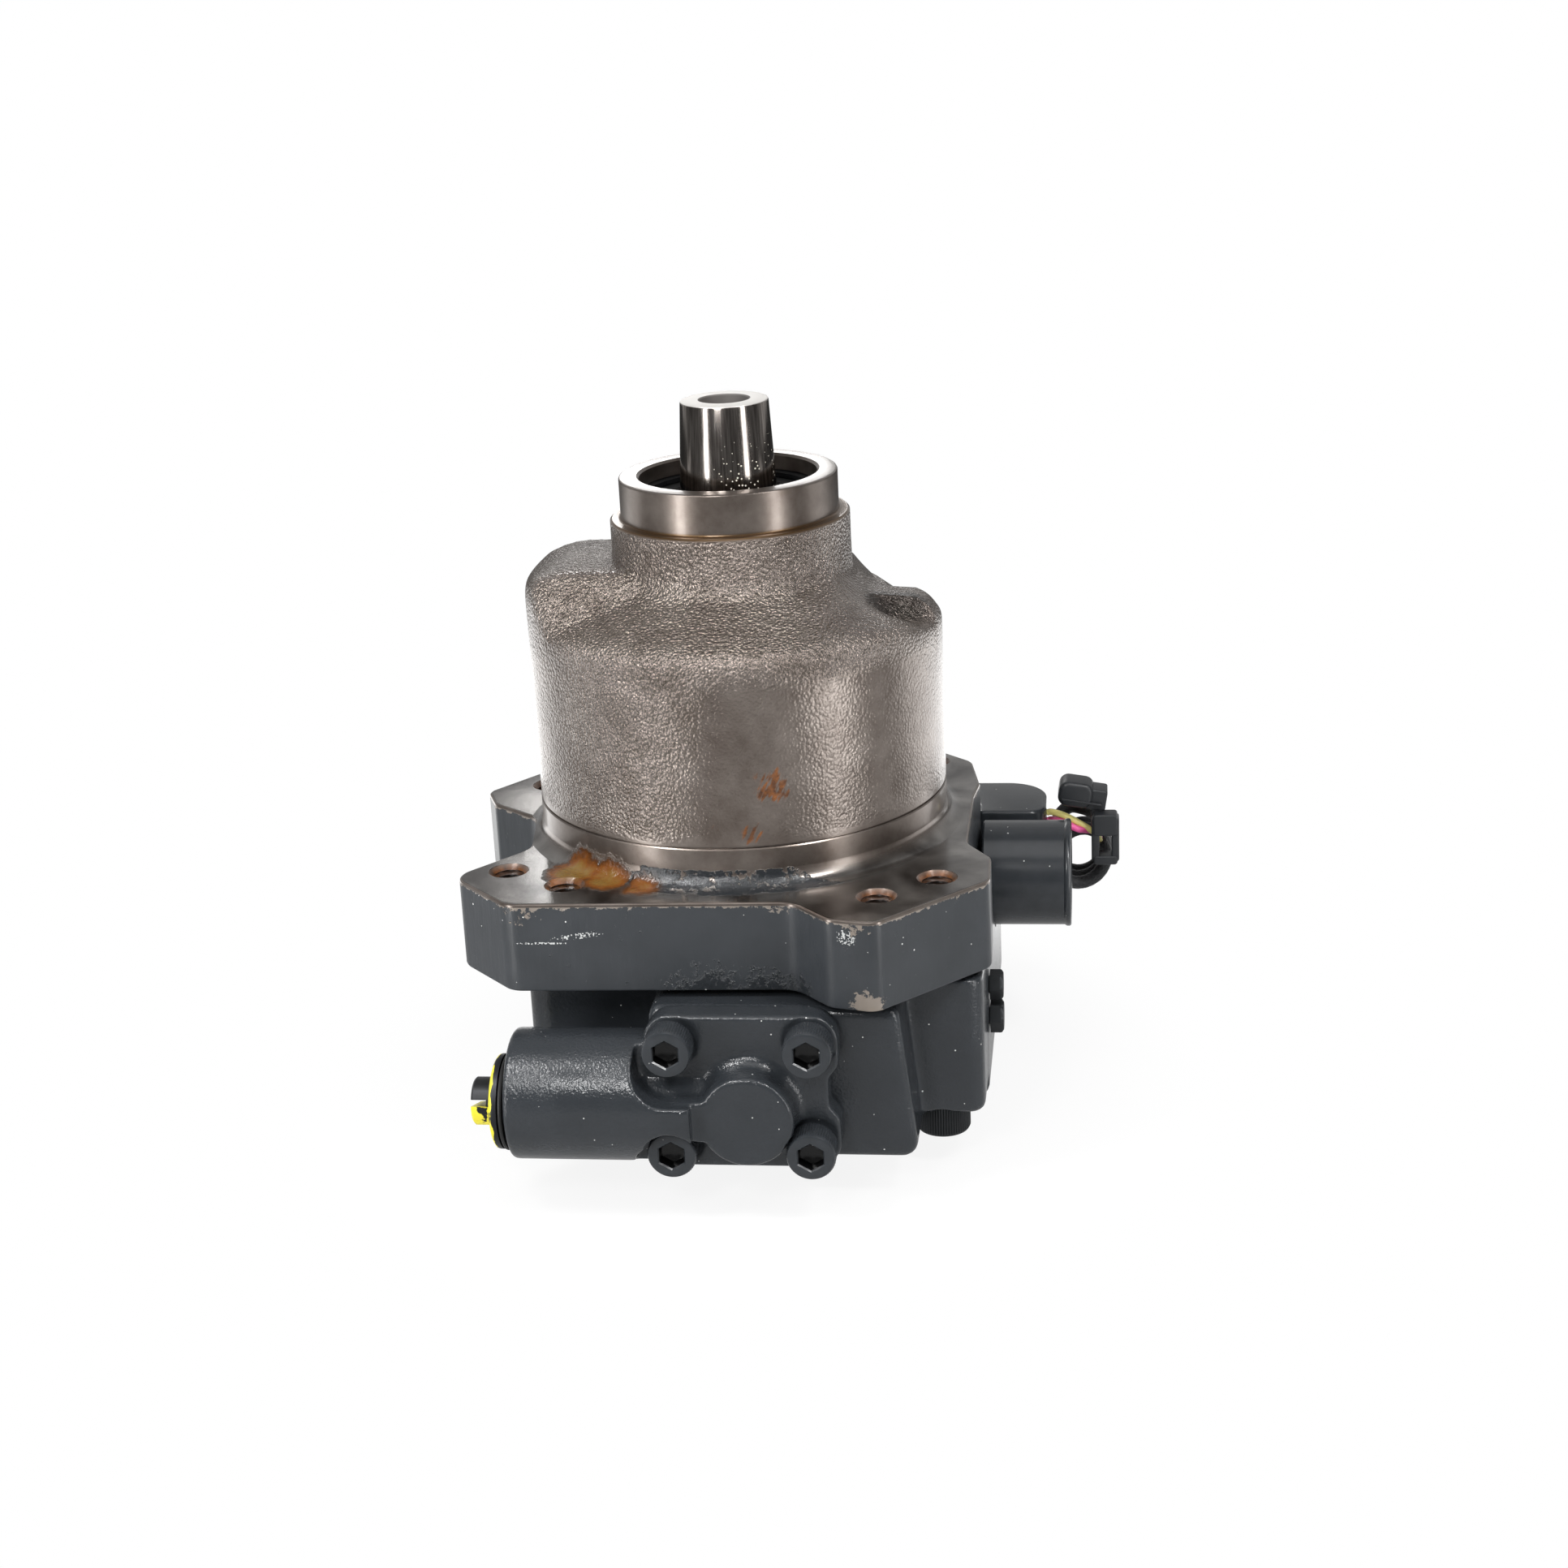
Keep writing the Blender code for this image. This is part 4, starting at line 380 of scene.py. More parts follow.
BLOCK_TOP = 67.1
PORT_R, PORT_X, PORT_Z = 9.5, 34, 34
BOLT_HOLE_R, SCREW_HOLE_R = 6.3, 5.3
BOLTS = ((70.3, -60.6, 22.3), (-55.0, -50.0, 13.0), (69.0, 34.0, 13.0), (-56.0, 50.0, 13.0))
SCREWS = [(9.3 + 22.3 * sx, 41.45 + 17.55 * sz) for sz in (1, -1) for sx in (-1, 1)]
CAN_AT = at(0, 30.0, 66.0, ALONG_X)
main = ((-69, -60, 8), (56, -60, 1), (56, -45, 1), (85, -45, 1), (85, 72, 8), (-69, 72, 8))
column = box_corners(46, 84.8, -71.2, -38, 5.5)
pad = ((-22, 13.6, 4), (64.5, 13.6, 5), (59, 66.1, 4), (-22, 66.1, 4))
back_pad = box_corners(-66, 66, 15, 53, 8)
shells = [
    prism("block", rounded(main), 13.0, BLOCK_TOP + 8.0, edge=4.0),
    prism("column", rounded(column), 19.4, BLOCK_TOP + 8.0, edge=2.5),
    prism("foot", rounded(box_corners(-52, 52, -52, 52, 51.9), 24), 0.0, 20.0, edge=1.0),
    prism("pad", rounded(pad), 50.0, 92.0, ALONG_FRONT, 3.0),
    prism("back_pad", rounded(back_pad), -76.0, -62.0, ALONG_FRONT, 1.5),
]
# The joint face under the gasket is milled flat across everything that stands above it.
milled = prism("milled", rounded(box_corners(-120, 120, -120, 120, 1.0)), BLOCK_TOP, BLOCK_TOP + 20.0)
blank = cut(merge("blank", *shells), milled)
cutters = []
for side in (-1, 1):
    cutters.append(rod(PORT_R, -77, -52, at(PORT_X * side, 0, PORT_Z, ALONG_FRONT)))
    for dx in (-23.8, 23.8):
        for dz in (-11.1, 11.1):
            cutters.append(rod(4.3, -77, -58, at(PORT_X * side + dx, 0, PORT_Z + dz, ALONG_FRONT), 32))
for x, y, seat in BOLTS:
    cutters.append(rod(BOLT_HOLE_R, seat - 8, BLOCK_TOP + 1, at(x, y, 0)))
    cutters.append(rod(9.6, 8.0, seat, at(x, y, 0)))
for x, z in SCREWS:
    cutters.append(rod(SCREW_HOLE_R, 70, 93, at(x, 0, z, ALONG_FRONT), 32))
cutters.append(rod(19.5, 80.2, 90, CAN_AT))
cutters.append(rod(26.4, 45.0, BLOCK_TOP + 1))
port_block = cast("port_block_casting", [blank], cutters, 1.0, 5)
put(port_block, grey_paint, "port_block")

# Gasket. A ring of grey fibre sheet that the main bolts squeeze between block and housing. It is seen only as
# a line.
gasket_paper, tree = new_tree("gasket_fibre")
# Dull grey-brown fibre.
where = add(tree, "TexCoord").outputs["Object"]
fibre = add(tree, "TexNoise", {"Scale": 1000 / 1.1, "Detail": 3.0}, {"Vector": where})
tone = add(tree, "ValToRGB", {"ramp": {0.0: "#3a3733", 1.0: "#5b564f"}}, {"Fac": fibre})
surface = add(tree, "BsdfPrincipled", {"Roughness": 0.85}, {"Base Color": tone})
add(tree, "OutputMaterial", links={"Surface": surface})
gasket = turned(
    "gasket_ring", ((62.5, 67.4), (67.5, 67.4), (67.5, 68.2), (62.5, 68.2)), sides=160, closed=True
)
put(gasket, gasket_paper, "housing_gasket")

# Main housing. One grey iron casting: collar, rough neck and shoulder with two cast ears, round case, pilot
# and a thick flange with eight tapped holes. Only the flange's sides are painted.
CASE_R, NECK_R, COLLAR_R, PILOT_R, BORE_R = 70.0, 40.25, 36.6, 70.1, 61.0
COLLAR_TOP, LEDGE, FLANGE_TOP, FLANGE_LOW = 220.7, 206.9, 99.0, 68.5
FILLET = 5.5
SIDES = 288
SHOULDER_STEPS, RIM_STEPS, RIM_ROUNDS = 55, 28, 26
BULGE_END = 155.0
FLANGE = (
    (-90.8, -60.2, 9), (-67.1, -85.5, 8), (25.4, -83, 10), (38, -97, 8), (53, -100.5, 6), (87.5, -63.5, 7),
    (87, -42, 6), (78.5, -28, 10), (78.5, 18, 8), (80, 32, 8), (76, 57, 8), (53, 80, 7), (-58, 80, 7),
    (-97.5, 25.5, 6), (-92, 12, 6), (-73.5, -3, 12), (-69.5, -33, 12),
)
HOLES = (
    (-72.4, -54.7), (-51.1, -67.6), (52.0, -77.1), (70.3, -60.6), (61.2, 56.9), (44.3, 70), (-75.7, 33),
    (-64.2, 52),
)
flange_line = rounded(FLANGE, 10)


def ears(x, y):
    """Height of the cast ears' top at a place: domed on the left, falling to a nose on the right."""
    if x < 0:
        rise = 5.2 * (1.0 - (max(0.0, -50.0 - x) / 18.0) ** 2)
        past = (-30.0 - y + math.hypot(-30.0 - y, 3.0)) / 2
        return 189.3 + rise - 1.5 * past - 0.6 * max(0.0, y - 15.0)
    fall = 181.0 - 0.07 * (x - 42.0) - 0.11 * max(0.0, x - 62.0) ** 2
    return fall - 2.2 * max(0.0, -12.0 - y) - 0.45 * max(0.0, y)


SHOULDER_SLOPE = math.radians(22.3)
SHOULDER_TOP = 188.1


def shoulder(r, x, y):
    """Height of the shoulder and how far an ear stands out of it: a cone with a fillet, ears and a pocket."""
    round_r = 3.5 if x > 25.0 else 9.5
    gap = r - NECK_R
    cone = SHOULDER_TOP - gap * math.tan(SHOULDER_SLOPE)
    if gap < round_r * (1.0 - math.sin(SHOULDER_SLOPE)):
        middle = SHOULDER_TOP - round_r * math.tan(SHOULDER_SLOPE) + round_r / math.cos(SHOULDER_SLOPE)
        cone = middle - math.sqrt(max(0.0, round_r**2 - (round_r - gap) ** 2))
    right = min(1.0, max(0.0, (x - 36.0) / 12.0))
    cone -= right * (4.8 * math.exp(-((y / 28.0) ** 2)) + 0.27 * max(0.0, y - 5.0))
    cone -= 3.6 * math.exp(-(((x - 57) / 7.5) ** 2) - ((y + 20) / 4.5) ** 2)
    ear = ears(x, y)
    return (cone + ear + math.hypot(cone - ear, 0.9)) / 2, max(0.0, ear - cone)


def edge_radius(x, y):
    """How far the flange reaches from the axis in the direction of x and y."""
    best = 0.0
    for (ax, ay), (bx, by) in zip(flange_line, flange_line[1:] + flange_line[:1]):
        dx, dy = bx - ax, by - ay
        den = x * dy - y * dx
        if abs(den) < 1e-9:
            continue
        t, u = (ax * dy - ay * dx) / den, (ax * y - ay * x) / den
        if t > 0 and -1e-6 <= u <= 1 + 1e-6:
            best = max(best, t)
    return best


columns = []
for k in range(SIDES):
    angle = 2 * math.pi * k / SIDES
    ux, uy = math.cos(angle), math.sin(angle)
    rise = shoulder(CASE_R, CASE_R * ux, CASE_R * uy)[1]
    bulge = min(1.0, rise / 12) * 0.6 if ux < 0 else min(1.0, rise / 6) * 1.2
    line = [(NECK_R, 205.8 - j * 1.3) for j in range(8)]
    for j in range(1, SHOULDER_STEPS + 1):
        r = NECK_R + (CASE_R + bulge - NECK_R) * (j / SHOULDER_STEPS) ** 1.25
        line.append((r, shoulder(r, r * ux, r * uy)[0]))
    rim_no = len(line) - 1
    rim = line[-1][1]
    for j in range(1, RIM_STEPS + 1):
        z = rim + (BULGE_END - rim) * j / RIM_STEPS
        line.append((CASE_R + bulge * (z - BULGE_END) / (rim - BULGE_END), z))
    for _ in range(RIM_ROUNDS):
        keep = line[:]
        for j in range(rim_no - 12, len(line) - 1):
            line[j] = tuple((a + 2 * b + c) / 4 for a, b, c in zip(keep[j - 1], keep[j], keep[j + 1]))
    top = [
        (30.6, COLLAR_TOP), (35.9, COLLAR_TOP), (COLLAR_R - 0.2, 220.4), (COLLAR_R, 220.0), (COLLAR_R, 207.9)
    ]
    top += [(COLLAR_R + 0.3, 207.2), (COLLAR_R + 1.0, LEDGE), (39.5, LEDGE), (NECK_R, 206.2)]
    down = [(CASE_R, z) for z in (145, 135, 125, 117, 112.9)]
    down += [
        (69.2, 112.6), (69.2, 112.1), (69.8, 112.0), (PILOT_R, 111.6), (PILOT_R, 107.5), (PILOT_R, 104.6)
    ]
    limit = min(PILOT_R + FILLET, edge_radius(ux, uy) - 0.3)
    foot = []
    for j in range(9):
        t = math.pi / 2 * j / 8
        r = min(PILOT_R + FILLET * (1 - math.cos(t)), limit)
        foot.append((r, 104.5 - math.sqrt(max(0.0, FILLET**2 - (PILOT_R + FILLET - r) ** 2))))
    under = [
        (limit, 98.4), (BORE_R, 98.4), (BORE_R, 171.0), (52.0, 178.0), (31.3, 178.0), (31.3, 202.1),
        (24.0, 202.1),
    ]
    under += [
        (24.0, 204.7), (29.8, 204.7), (29.8, 213.0), (31.4, 213.0), (31.4, 215.1), (29.8, 215.1),
        (29.8, 219.9),
    ]
    columns.append([(ux * r, uy * r, z) for r, z in (*top, *line, *down, *foot, *under)])
case = solid("case", list(zip(*columns)), closed=True)


def threaded(radius, sink, top, depth, pitch):
    """Profile of a tapped hole from its rim down: a sink, rings for the thread and a drilled tip."""
    profile = [(sink, top), (radius, top - (sink - radius))]
    z = profile[-1][1] - pitch / 2
    while z > top - depth:
        profile += [(radius - 0.55 * pitch, z), (radius, z - pitch / 2)]
        z -= pitch
    return [*profile, (radius - 1, z), (0, z - radius * 0.5)]


def flange_mesh():
    """The flange: a wall round its outline, and top and bottom faces filled round their holes."""
    made = bmesh.new()
    count = len(flange_line)
    inward = []
    for i in range(count):
        run = Vector(flange_line[(i + 1) % count]) - Vector(flange_line[i - 1])
        inward.append(Vector((-run.y, run.x)).normalized())

    def loop(points):
        return [made.verts.new(Vector(p) * MM) for p in points]

    def wall(rings):
        for a, b in zip(rings, rings[1:]):
            for i in range(len(a)):
                j = (i + 1) % len(a)
                if len(b) == 1:
                    made.faces.new((a[i], a[j], b[0]))
                else:
                    made.faces.new((a[i], a[j], b[j], b[i]))

    def circle(x, y, r, z, sides):
        turn_by = 2 * math.pi / sides
        return loop((x + r * math.cos(turn_by * k), y + r * math.sin(turn_by * k), z) for k in range(sides))

    def fill(rings):
        edges = []
        for ring in rings:
            for i in range(len(ring)):
                pair = (ring[i], ring[(i + 1) % len(ring)])
                edges.append(made.edges.get(pair) or made.edges.new(pair))
        bmesh.ops.triangle_fill(made, use_beauty=True, edges=edges)

    stack = [(1.0, FLANGE_LOW), (0.3, 68.8), (0.0, 69.5), (0.0, 76.0), (0.0, 84.0), (0.0, 92.0)]
    stack += [(0.0, 97.9), (0.2, 98.55), (0.6, 98.87), (1.1, FLANGE_TOP)]
    rims = [
        loop((x + n.x * inset, y + n.y * inset, z) for (x, y), n in zip(flange_line, inward))
        for inset, z in stack
    ]
    wall(rims)
    tops, bottoms = [rims[-1]], [rims[0]]
    bore = [circle(0, 0, BORE_R, z, SIDES) for z in (FLANGE_TOP, FLANGE_LOW)]
    wall(bore)
    tops.append(bore[0])
    bottoms.append(bore[1])
    for x, y in HOLES:
        rings = []
        for r, z in threaded(6.0, 6.7, FLANGE_TOP, 16.0, 1.75):
            rings.append(loop([(x, y, z)]) if r == 0 else circle(x, y, r, z, 64))
        wall(rings)
        tops.append(rings[0])
    for x, y, _ in BOLTS:
        rings = [circle(x, y, r, z, 32) for r, z in ((BOLT_HOLE_R, FLANGE_LOW), (BOLT_HOLE_R, 81.4))]
        rings.append(loop([(x, y, 81.5)]))
        wall(rings)
        bottoms.append(rings[0])
    fill(tops)
    fill(bottoms)
    bmesh.ops.recalc_face_normals(made, faces=made.faces)
    mesh = bpy.data.meshes.new("flange")
    made.to_mesh(mesh)
    made.free()
    obj = bpy.data.objects.new("flange", mesh)
    scene.collection.objects.link(obj)
    return obj


housing = merge("main_housing_casting", case, flange_mesh())
housing.data.shade_smooth()
housing.data.set_sharp_from_angle(angle=math.radians(SHARP))
even = housing.modifiers.new("even", "WEIGHTED_NORMAL")
even.keep_sharp = True

iron, tree = new_tree("bare_grey_iron")
# Bare iron: sand skin that sparkles on neck, shoulder and the case's left, turned metal elsewhere. A ragged
# band of paint is left round the foot in front, old oil has dried on the flange, and rust sits in the holes
# and in smears. The sand is drawn coarser than it is, so that it shows.
where = add(tree, "TexCoord").outputs["Object"]
spot = add(tree, "SeparateXYZ", links={0: where}).outputs
plan = add(tree, "VectorMath", {"operation": "MULTIPLY", 1: (1, 1, 0)}, {0: where})
skin = add(tree, "Attribute", {"attribute_name": "sand_skin"}).outputs["Fac"]
grit = add(tree, "TexVoronoi", {"Scale": 1000 / 1.1}, {"Vector": where})
sand = add(tree, "TexNoise", {"Scale": 1000 / 0.9, "Detail": 2.0, "Roughness": 0.6}, {"Vector": where})
sand = add(tree, "Math", {"operation": "SUBTRACT"}, {0: sand, 1: grit.outputs["Distance"]})
fine = add(tree, "TexNoise", {"Scale": 1000 / 0.4, "Detail": 2.0}, {"Vector": where})
patches = add(tree, "TexNoise", {"Scale": 1000 / 16, "Detail": 6.0, "Roughness": 0.62}, {"Vector": where})
blotch = add(tree, "TexNoise", {"Scale": 1000 / 4, "Detail": 5.0, "Roughness": 0.65}, {"Vector": where})
tilted = add(
    tree,
    "Mapping",
    {"vector_type": "TEXTURE", "Rotation": (0, 0.5, 0), "Scale": (0.0016, 0.0016, 0.008)},
    {"Vector": where},
)
strokes = add(tree, "TexNoise", {"Scale": 1.0, "Detail": 3.0}, {"Vector": tilted})


def spread(spots, source, tree):
    """How thick a stain lies: the most of several round spots, each a middle, a reach and a strength."""
    most = None
    for middle, reach, strength in spots:
        off = add(tree, "VectorMath", {"operation": "DISTANCE", 1: [c * MM for c in middle]}, {0: source})
        limits = {"From Min": reach * 0.3 * MM, "From Max": reach * MM, "To Min": strength, "To Max": 0.0}
        part = add(tree, "MapRange", limits, {"Value": off.outputs["Value"]})
        most = add(tree, "Math", {"operation": "MAXIMUM"}, {0: most, 1: part}) if most else part
    return most


tone = add(tree, "ValToRGB", {"ramp": {0.32: "#655b54", 0.68: "#857c75"}}, {"Fac": patches})
# The flange's flat top carries an oil film smeared at random from dark to light; its light smears are partly
# painted reflection.
oil = add(tree, "MapRange", {"From Min": 0.1030, "From Max": 0.1000}, {"Value": spot["Z"]})
flat_top = add(tree, "Math", {"operation": "GREATER_THAN", 1: 0.0989}, {0: spot["Z"]})
oil = add(tree, "Math", {"operation": "MULTIPLY"}, {0: oil, 1: flat_top})
smeared = add(tree, "TexNoise", {"Scale": 1000 / 26, "Detail": 4.0, "Distortion": 0.5}, {"Vector": where})
oil_film_and_sheen = add(tree, "ValToRGB", {"ramp": {0.38: "#322c28", 0.68: "#8f8b87"}}, {"Fac": smeared})
dark = add(tree, "MixRGB", links={"Fac": oil, "Color1": tone, "Color2": oil_film_and_sheen})
# A line of brown dirt lies on the ledge under the collar.
level = add(tree, "CombineXYZ", links={2: spot["Z"]})
ledge = add(tree, "VectorMath", {"operation": "DISTANCE", 1: (0, 0, 0.2070)}, {0: level})
ledge = add(
    tree,
    "MapRange",
    {"From Min": 0.0003, "From Max": 0.0010, "To Min": 0.9, "To Max": 0.0},
    {"Value": ledge.outputs["Value"]},
)
colour = add(tree, "MixRGB", {"Color2": linear("#5c4324")}, {"Fac": ledge, "Color1": dark})
# The floor of the pocket in the right ear is coloured dark, broken up by the sand: painted shade in the
# hollow.
pocket_shade = spread([((52, -15, 178.5), 10, 1.0), ((60, -13, 177), 10, 1.0)], where, tree)
pocket_shade = add(tree, "Math", {"operation": "MULTIPLY_ADD", 1: 0.6}, {0: sand, 2: pocket_shade})
pocket_shade = add(tree, "MapRange", {"From Min": 0.2, "From Max": 0.7, "To Max": 0.85}, {"Value": pocket_shade})
colour = add(tree, "MixRGB", {"Color2": linear("#2b2521")}, {"Fac": pocket_shade, "Color1": colour})
# Paint left round the foot of the case: below a ragged edge, in front and no further out than the fillet.
low = add(tree, "MapRange", {"From Min": 0.1075, "From Max": 0.1045}, {"Value": spot["Z"]})
front = add(tree, "MapRange", {"From Min": -0.056, "From Max": -0.066}, {"Value": spot["Y"]})
reach = add(tree, "VectorMath", {"operation": "LENGTH"}, {0: plan})
inside = add(tree, "MapRange", {"From Min": 0.0815, "From Max": 0.0765}, {"Value": reach.outputs["Value"]})
left = add(tree, "Math", {"operation": "MINIMUM"}, {0: low, 1: front})
left = add(tree, "Math", {"operation": "MINIMUM"}, {0: left, 1: inside})
left = add(tree, "Math", {"operation": "ADD"}, {0: left, 1: blotch})
left = add(tree, "MapRange", {"From Min": 1.40, "From Max": 1.45}, {"Value": left})
colour = add(tree, "MixRGB", {"Color2": linear("#212427")}, {"Fac": left, "Color1": colour})
# Dried oil, amber where thin and brown where thick.
dried = spread(
    [((-50, -57, 98), 15, 1.0), ((-38, -64, 98), 14, 0.9), ((-25, -71, 98), 12, 0.75)], where, tree
)
dried = add(tree, "Math", {"operation": "MULTIPLY_ADD", 1: 0.7}, {0: blotch, 2: dried})
thickness = add(tree, "MapRange", {"From Max": 1.45}, {"Value": dried})
amber = add(
    tree, "ValToRGB", {"ramp": {0.56: "#271608", 0.75: "#6d3d0d", 0.95: "#735826"}}, {"Fac": thickness}
)
dried = add(tree, "MapRange", {"From Min": 0.72, "From Max": 0.9}, {"Value": dried})
colour = add(tree, "MixRGB", links={"Fac": dried, "Color1": colour, "Color2": amber})
# Rust: in every tapped hole, and drawn out in strokes on the case.
in_holes = spread([((x, y, 0), 7.1, 3.0) for x, y in HOLES], plan, tree)
smears = spread(
    [((18.6, -67.5, 133), 11, 0.5), ((11.4, -69.1, 117), 7, 0.42), ((-0.2, -70, 119), 4, 0.42)], where, tree
)
smears = add(tree, "Math", {"operation": "ADD"}, {0: strokes, 1: smears})
smears = add(tree, "MapRange", {"From Min": 0.88, "From Max": 0.98}, {"Value": smears})
rust = add(tree, "Math", {"operation": "MAXIMUM", "use_clamp": True}, {0: in_holes, 1: smears})
rust_tone = add(tree, "ValToRGB", {"ramp": {0.35: "#2c180b", 0.65: "#7d4c25"}}, {"Fac": blotch})
colour = add(tree, "MixRGB", links={"Fac": rust, "Color1": colour, "Color2": rust_tone})
# Deep in the holes hardly any light gets out again.
deep = add(tree, "MapRange", {"From Min": 0.0982, "From Max": 0.0945, "To Max": 0.92}, {"Value": spot["Z"]})
colour = add(tree, "MixRGB", {"Color2": linear("#120b07")}, {"Fac": deep, "Color1": colour})
wet = add(tree, "Math", {"operation": "MAXIMUM"}, {0: left, 1: dried})
covered = add(tree, "Math", {"operation": "MAXIMUM"}, {0: wet, 1: rust})
# The cast sides are duller than the turned ones.
above = add(tree, "Math", {"operation": "GREATER_THAN", 1: 0.1129}, {0: spot["Z"]})
under = add(tree, "Math", {"operation": "LESS_THAN", 1: 0.2065}, {0: spot["Z"]})
dull = add(tree, "Math", {"operation": "MULTIPLY"}, {0: above, 1: under})
metal = add(tree, "MapRange", {"To Min": 0.85, "To Max": 0.72}, {"Value": dull})
bare = add(tree, "MapRange", {"To Min": 1.0, "To Max": 0.05}, {"Value": covered})
metal = add(tree, "Math", {"operation": "MULTIPLY"}, {0: metal, 1: bare})
rough = add(tree, "MapRange", {"To Min": 0.3, "To Max": 0.2}, {"Value": skin})
shiny = add(tree, "Math", {"operation": "MAXIMUM"}, {0: wet, 1: oil})
rough = add(tree, "MapRange", {"To Max": 0.22}, {"Value": shiny, "To Min": rough})
lumps = add(tree, "Math", {"operation": "MULTIPLY"}, {0: sand, 1: skin})
runs = add(tree, "Math", {"operation": "MULTIPLY"}, {0: blotch, 1: wet})
bump = add(tree, "Bump", {"Strength": 0.2, "Distance": 0.00006}, {"Height": fine})
bump = add(tree, "Bump", {"Strength": 0.7, "Distance": 0.0008}, {"Height": runs, "Normal": bump})
bump = add(tree, "Bump", {"Strength": 1.0, "Distance": 0.0006}, {"Height": lumps, "Normal": bump})
surface = add(
    tree,
    "BsdfPrincipled",
    {"Coat Weight": 0.3, "Coat Roughness": 0.1},
    {
        "Base Color": colour,
        "Metallic": metal,
        "Roughness": rough,
        "Normal": bump,
        "Coat Normal": bump,
    },
)
add(tree, "OutputMaterial", links={"Surface": surface})

worn_paint, tree = new_tree("worn_anthracite_paint")
# The same paint on the flange's sides: rubbed off along the top rim, chipped in places, scuffed white in
# front, and thick and dark near the bottom, where it ran.
where = add(tree, "TexCoord").outputs["Object"]
spot = add(tree, "SeparateXYZ", links={0: where}).outputs
patches = add(tree, "TexNoise", {"Scale": 1000 / 14, "Detail": 4.0}, {"Vector": where})
ragged = add(tree, "TexNoise", {"Scale": 1000 / 2.6, "Detail": 5.0, "Roughness": 0.7}, {"Vector": where})
drawn = add(tree, "Mapping", {"vector_type": "TEXTURE", "Scale": (0.003, 0.003, 0.02)}, {"Vector": where})
streaks = add(tree, "TexNoise", {"Scale": 1.0, "Detail": 3.0}, {"Vector": drawn})
tone = add(tree, "ValToRGB", {"ramp": {0.0: "#2a2d30", 1.0: "#383b3f"}}, {"Fac": patches})
thick = spread([((-2, -84, 64), 18, 0.4), ((16, -84, 64), 16, 0.4), ((27, -85, 68), 10, 0.35)], where, tree)
runs = add(tree, "Math", {"operation": "ADD"}, {0: thick, 1: ragged})
runs = add(tree, "MapRange", {"From Min": 0.66, "From Max": 0.78}, {"Value": runs})
colour = add(tree, "MixRGB", {"Color2": linear("#272a2d")}, {"Fac": runs, "Color1": tone})
# Scuffs in front, shown as white specks: each a middle, half its length and half its height in metres, and
# its lean in radians.
specks = add(tree, "TexNoise", {"Scale": 1000 / 0.7, "Detail": 2.0}, {"Vector": where})
for middle, half_long, half_high, lean in (
    ((-0.0560, 0, 0.0855), 0.0140, 0.0006, 0.0),
    ((-0.0440, 0, 0.0880), 0.0130, 0.0016, -0.12),
    ((0.0440, 0, 0.0930), 0.0050, 0.0040, 0.3),
):
    place_of = {"Location": middle, "Rotation": (0, lean, 0), "Scale": (half_long, 1.0, half_high)}
    scuff = add(tree, "Mapping", {"vector_type": "TEXTURE", **place_of}, {"Vector": where})
    off = add(tree, "VectorMath", {"operation": "LENGTH"}, {0: scuff})
    scuff = add(
        tree,
        "MapRange",
        {"From Min": 0.5, "From Max": 1.0, "To Min": 0.12, "To Max": -0.2},
        {"Value": off.outputs["Value"]},
    )
    scuff = add(tree, "Math", {"operation": "ADD"}, {0: scuff, 1: specks})
    scuff = add(tree, "Math", {"operation": "GREATER_THAN", 1: 0.66}, {0: scuff})
    colour = add(tree, "MixRGB", {"Color2": linear("#b4b6b5")}, {"Fac": scuff, "Color1": colour})
colour = dusted(tree, where, colour, 3.4, 0.6)
rubbed = add(tree, "MapRange", {"From Min": 0.0962, "From Max": 0.0986, "To Max": 0.45}, {"Value": spot["Z"]})
chips = [
    ((50, -99.5, 70), 9, 0.42), ((47, -99, 98.5), 8, 0.3), ((20, -82, 98.5), 8, 0.3),
    ((-62, -85.5, 99), 12, 0.26),
]
rubbed = add(tree, "Math", {"operation": "MAXIMUM"}, {0: rubbed, 1: spread(chips, where, tree)})
rubbed = add(tree, "Math", {"operation": "ADD"}, {0: rubbed, 1: ragged})
rubbed = add(tree, "MapRange", {"From Min": 0.76, "From Max": 0.8}, {"Value": rubbed})
bare_metal = add(tree, "ValToRGB", {"ramp": {0.0: "#8d8175", 1.0: "#a39c95"}}, {"Fac": patches})
colour = add(tree, "MixRGB", links={"Fac": rubbed, "Color1": colour, "Color2": bare_metal})
bare = add(tree, "Math", {"operation": "MULTIPLY", 1: 0.6}, {0: rubbed})
wet = add(tree, "MapRange", {"To Min": 0.36, "To Max": 0.2}, {"Value": runs})
bump = add(tree, "Bump", {"Strength": 0.5, "Distance": 0.0003}, {"Height": streaks})
lumpy = add(tree, "Math", {"operation": "MULTIPLY"}, {0: ragged, 1: runs})
bump = add(tree, "Bump", {"Strength": 0.7, "Distance": 0.0006}, {"Height": lumpy, "Normal": bump})
flake = add(tree, "Math", {"operation": "SUBTRACT", 0: 1.0}, {1: rubbed})
bump = add(tree, "Bump", {"Strength": 0.8, "Distance": 0.0002}, {"Height": flake, "Normal": bump})
links = {"Base Color": colour, "Metallic": bare, "Roughness": wet, "Normal": bump}
surface = add(tree, "BsdfPrincipled", links=links)
add(tree, "OutputMaterial", links={"Surface": surface})

put(housing, iron, "main_housing")
housing.data.materials.append(worn_paint)
# Paint covers the flange's sides up to the rim, but no tapped hole.
PAINT_TOP, PAINT_FROM, HOLE_RIM = 98.2, 0.93, 7.6
for face in housing.data.polygons:
    x, y, z = (c / MM for c in face.center)
    r = math.hypot(x, y)
    outside = r > BORE_R + 0.5 and all(math.hypot(x - hx, y - hy) > HOLE_RIM for hx, hy in HOLES)
    if outside and z < PAINT_TOP and r > edge_radius(x, y) * r * PAINT_FROM:
        face.material_index = 1
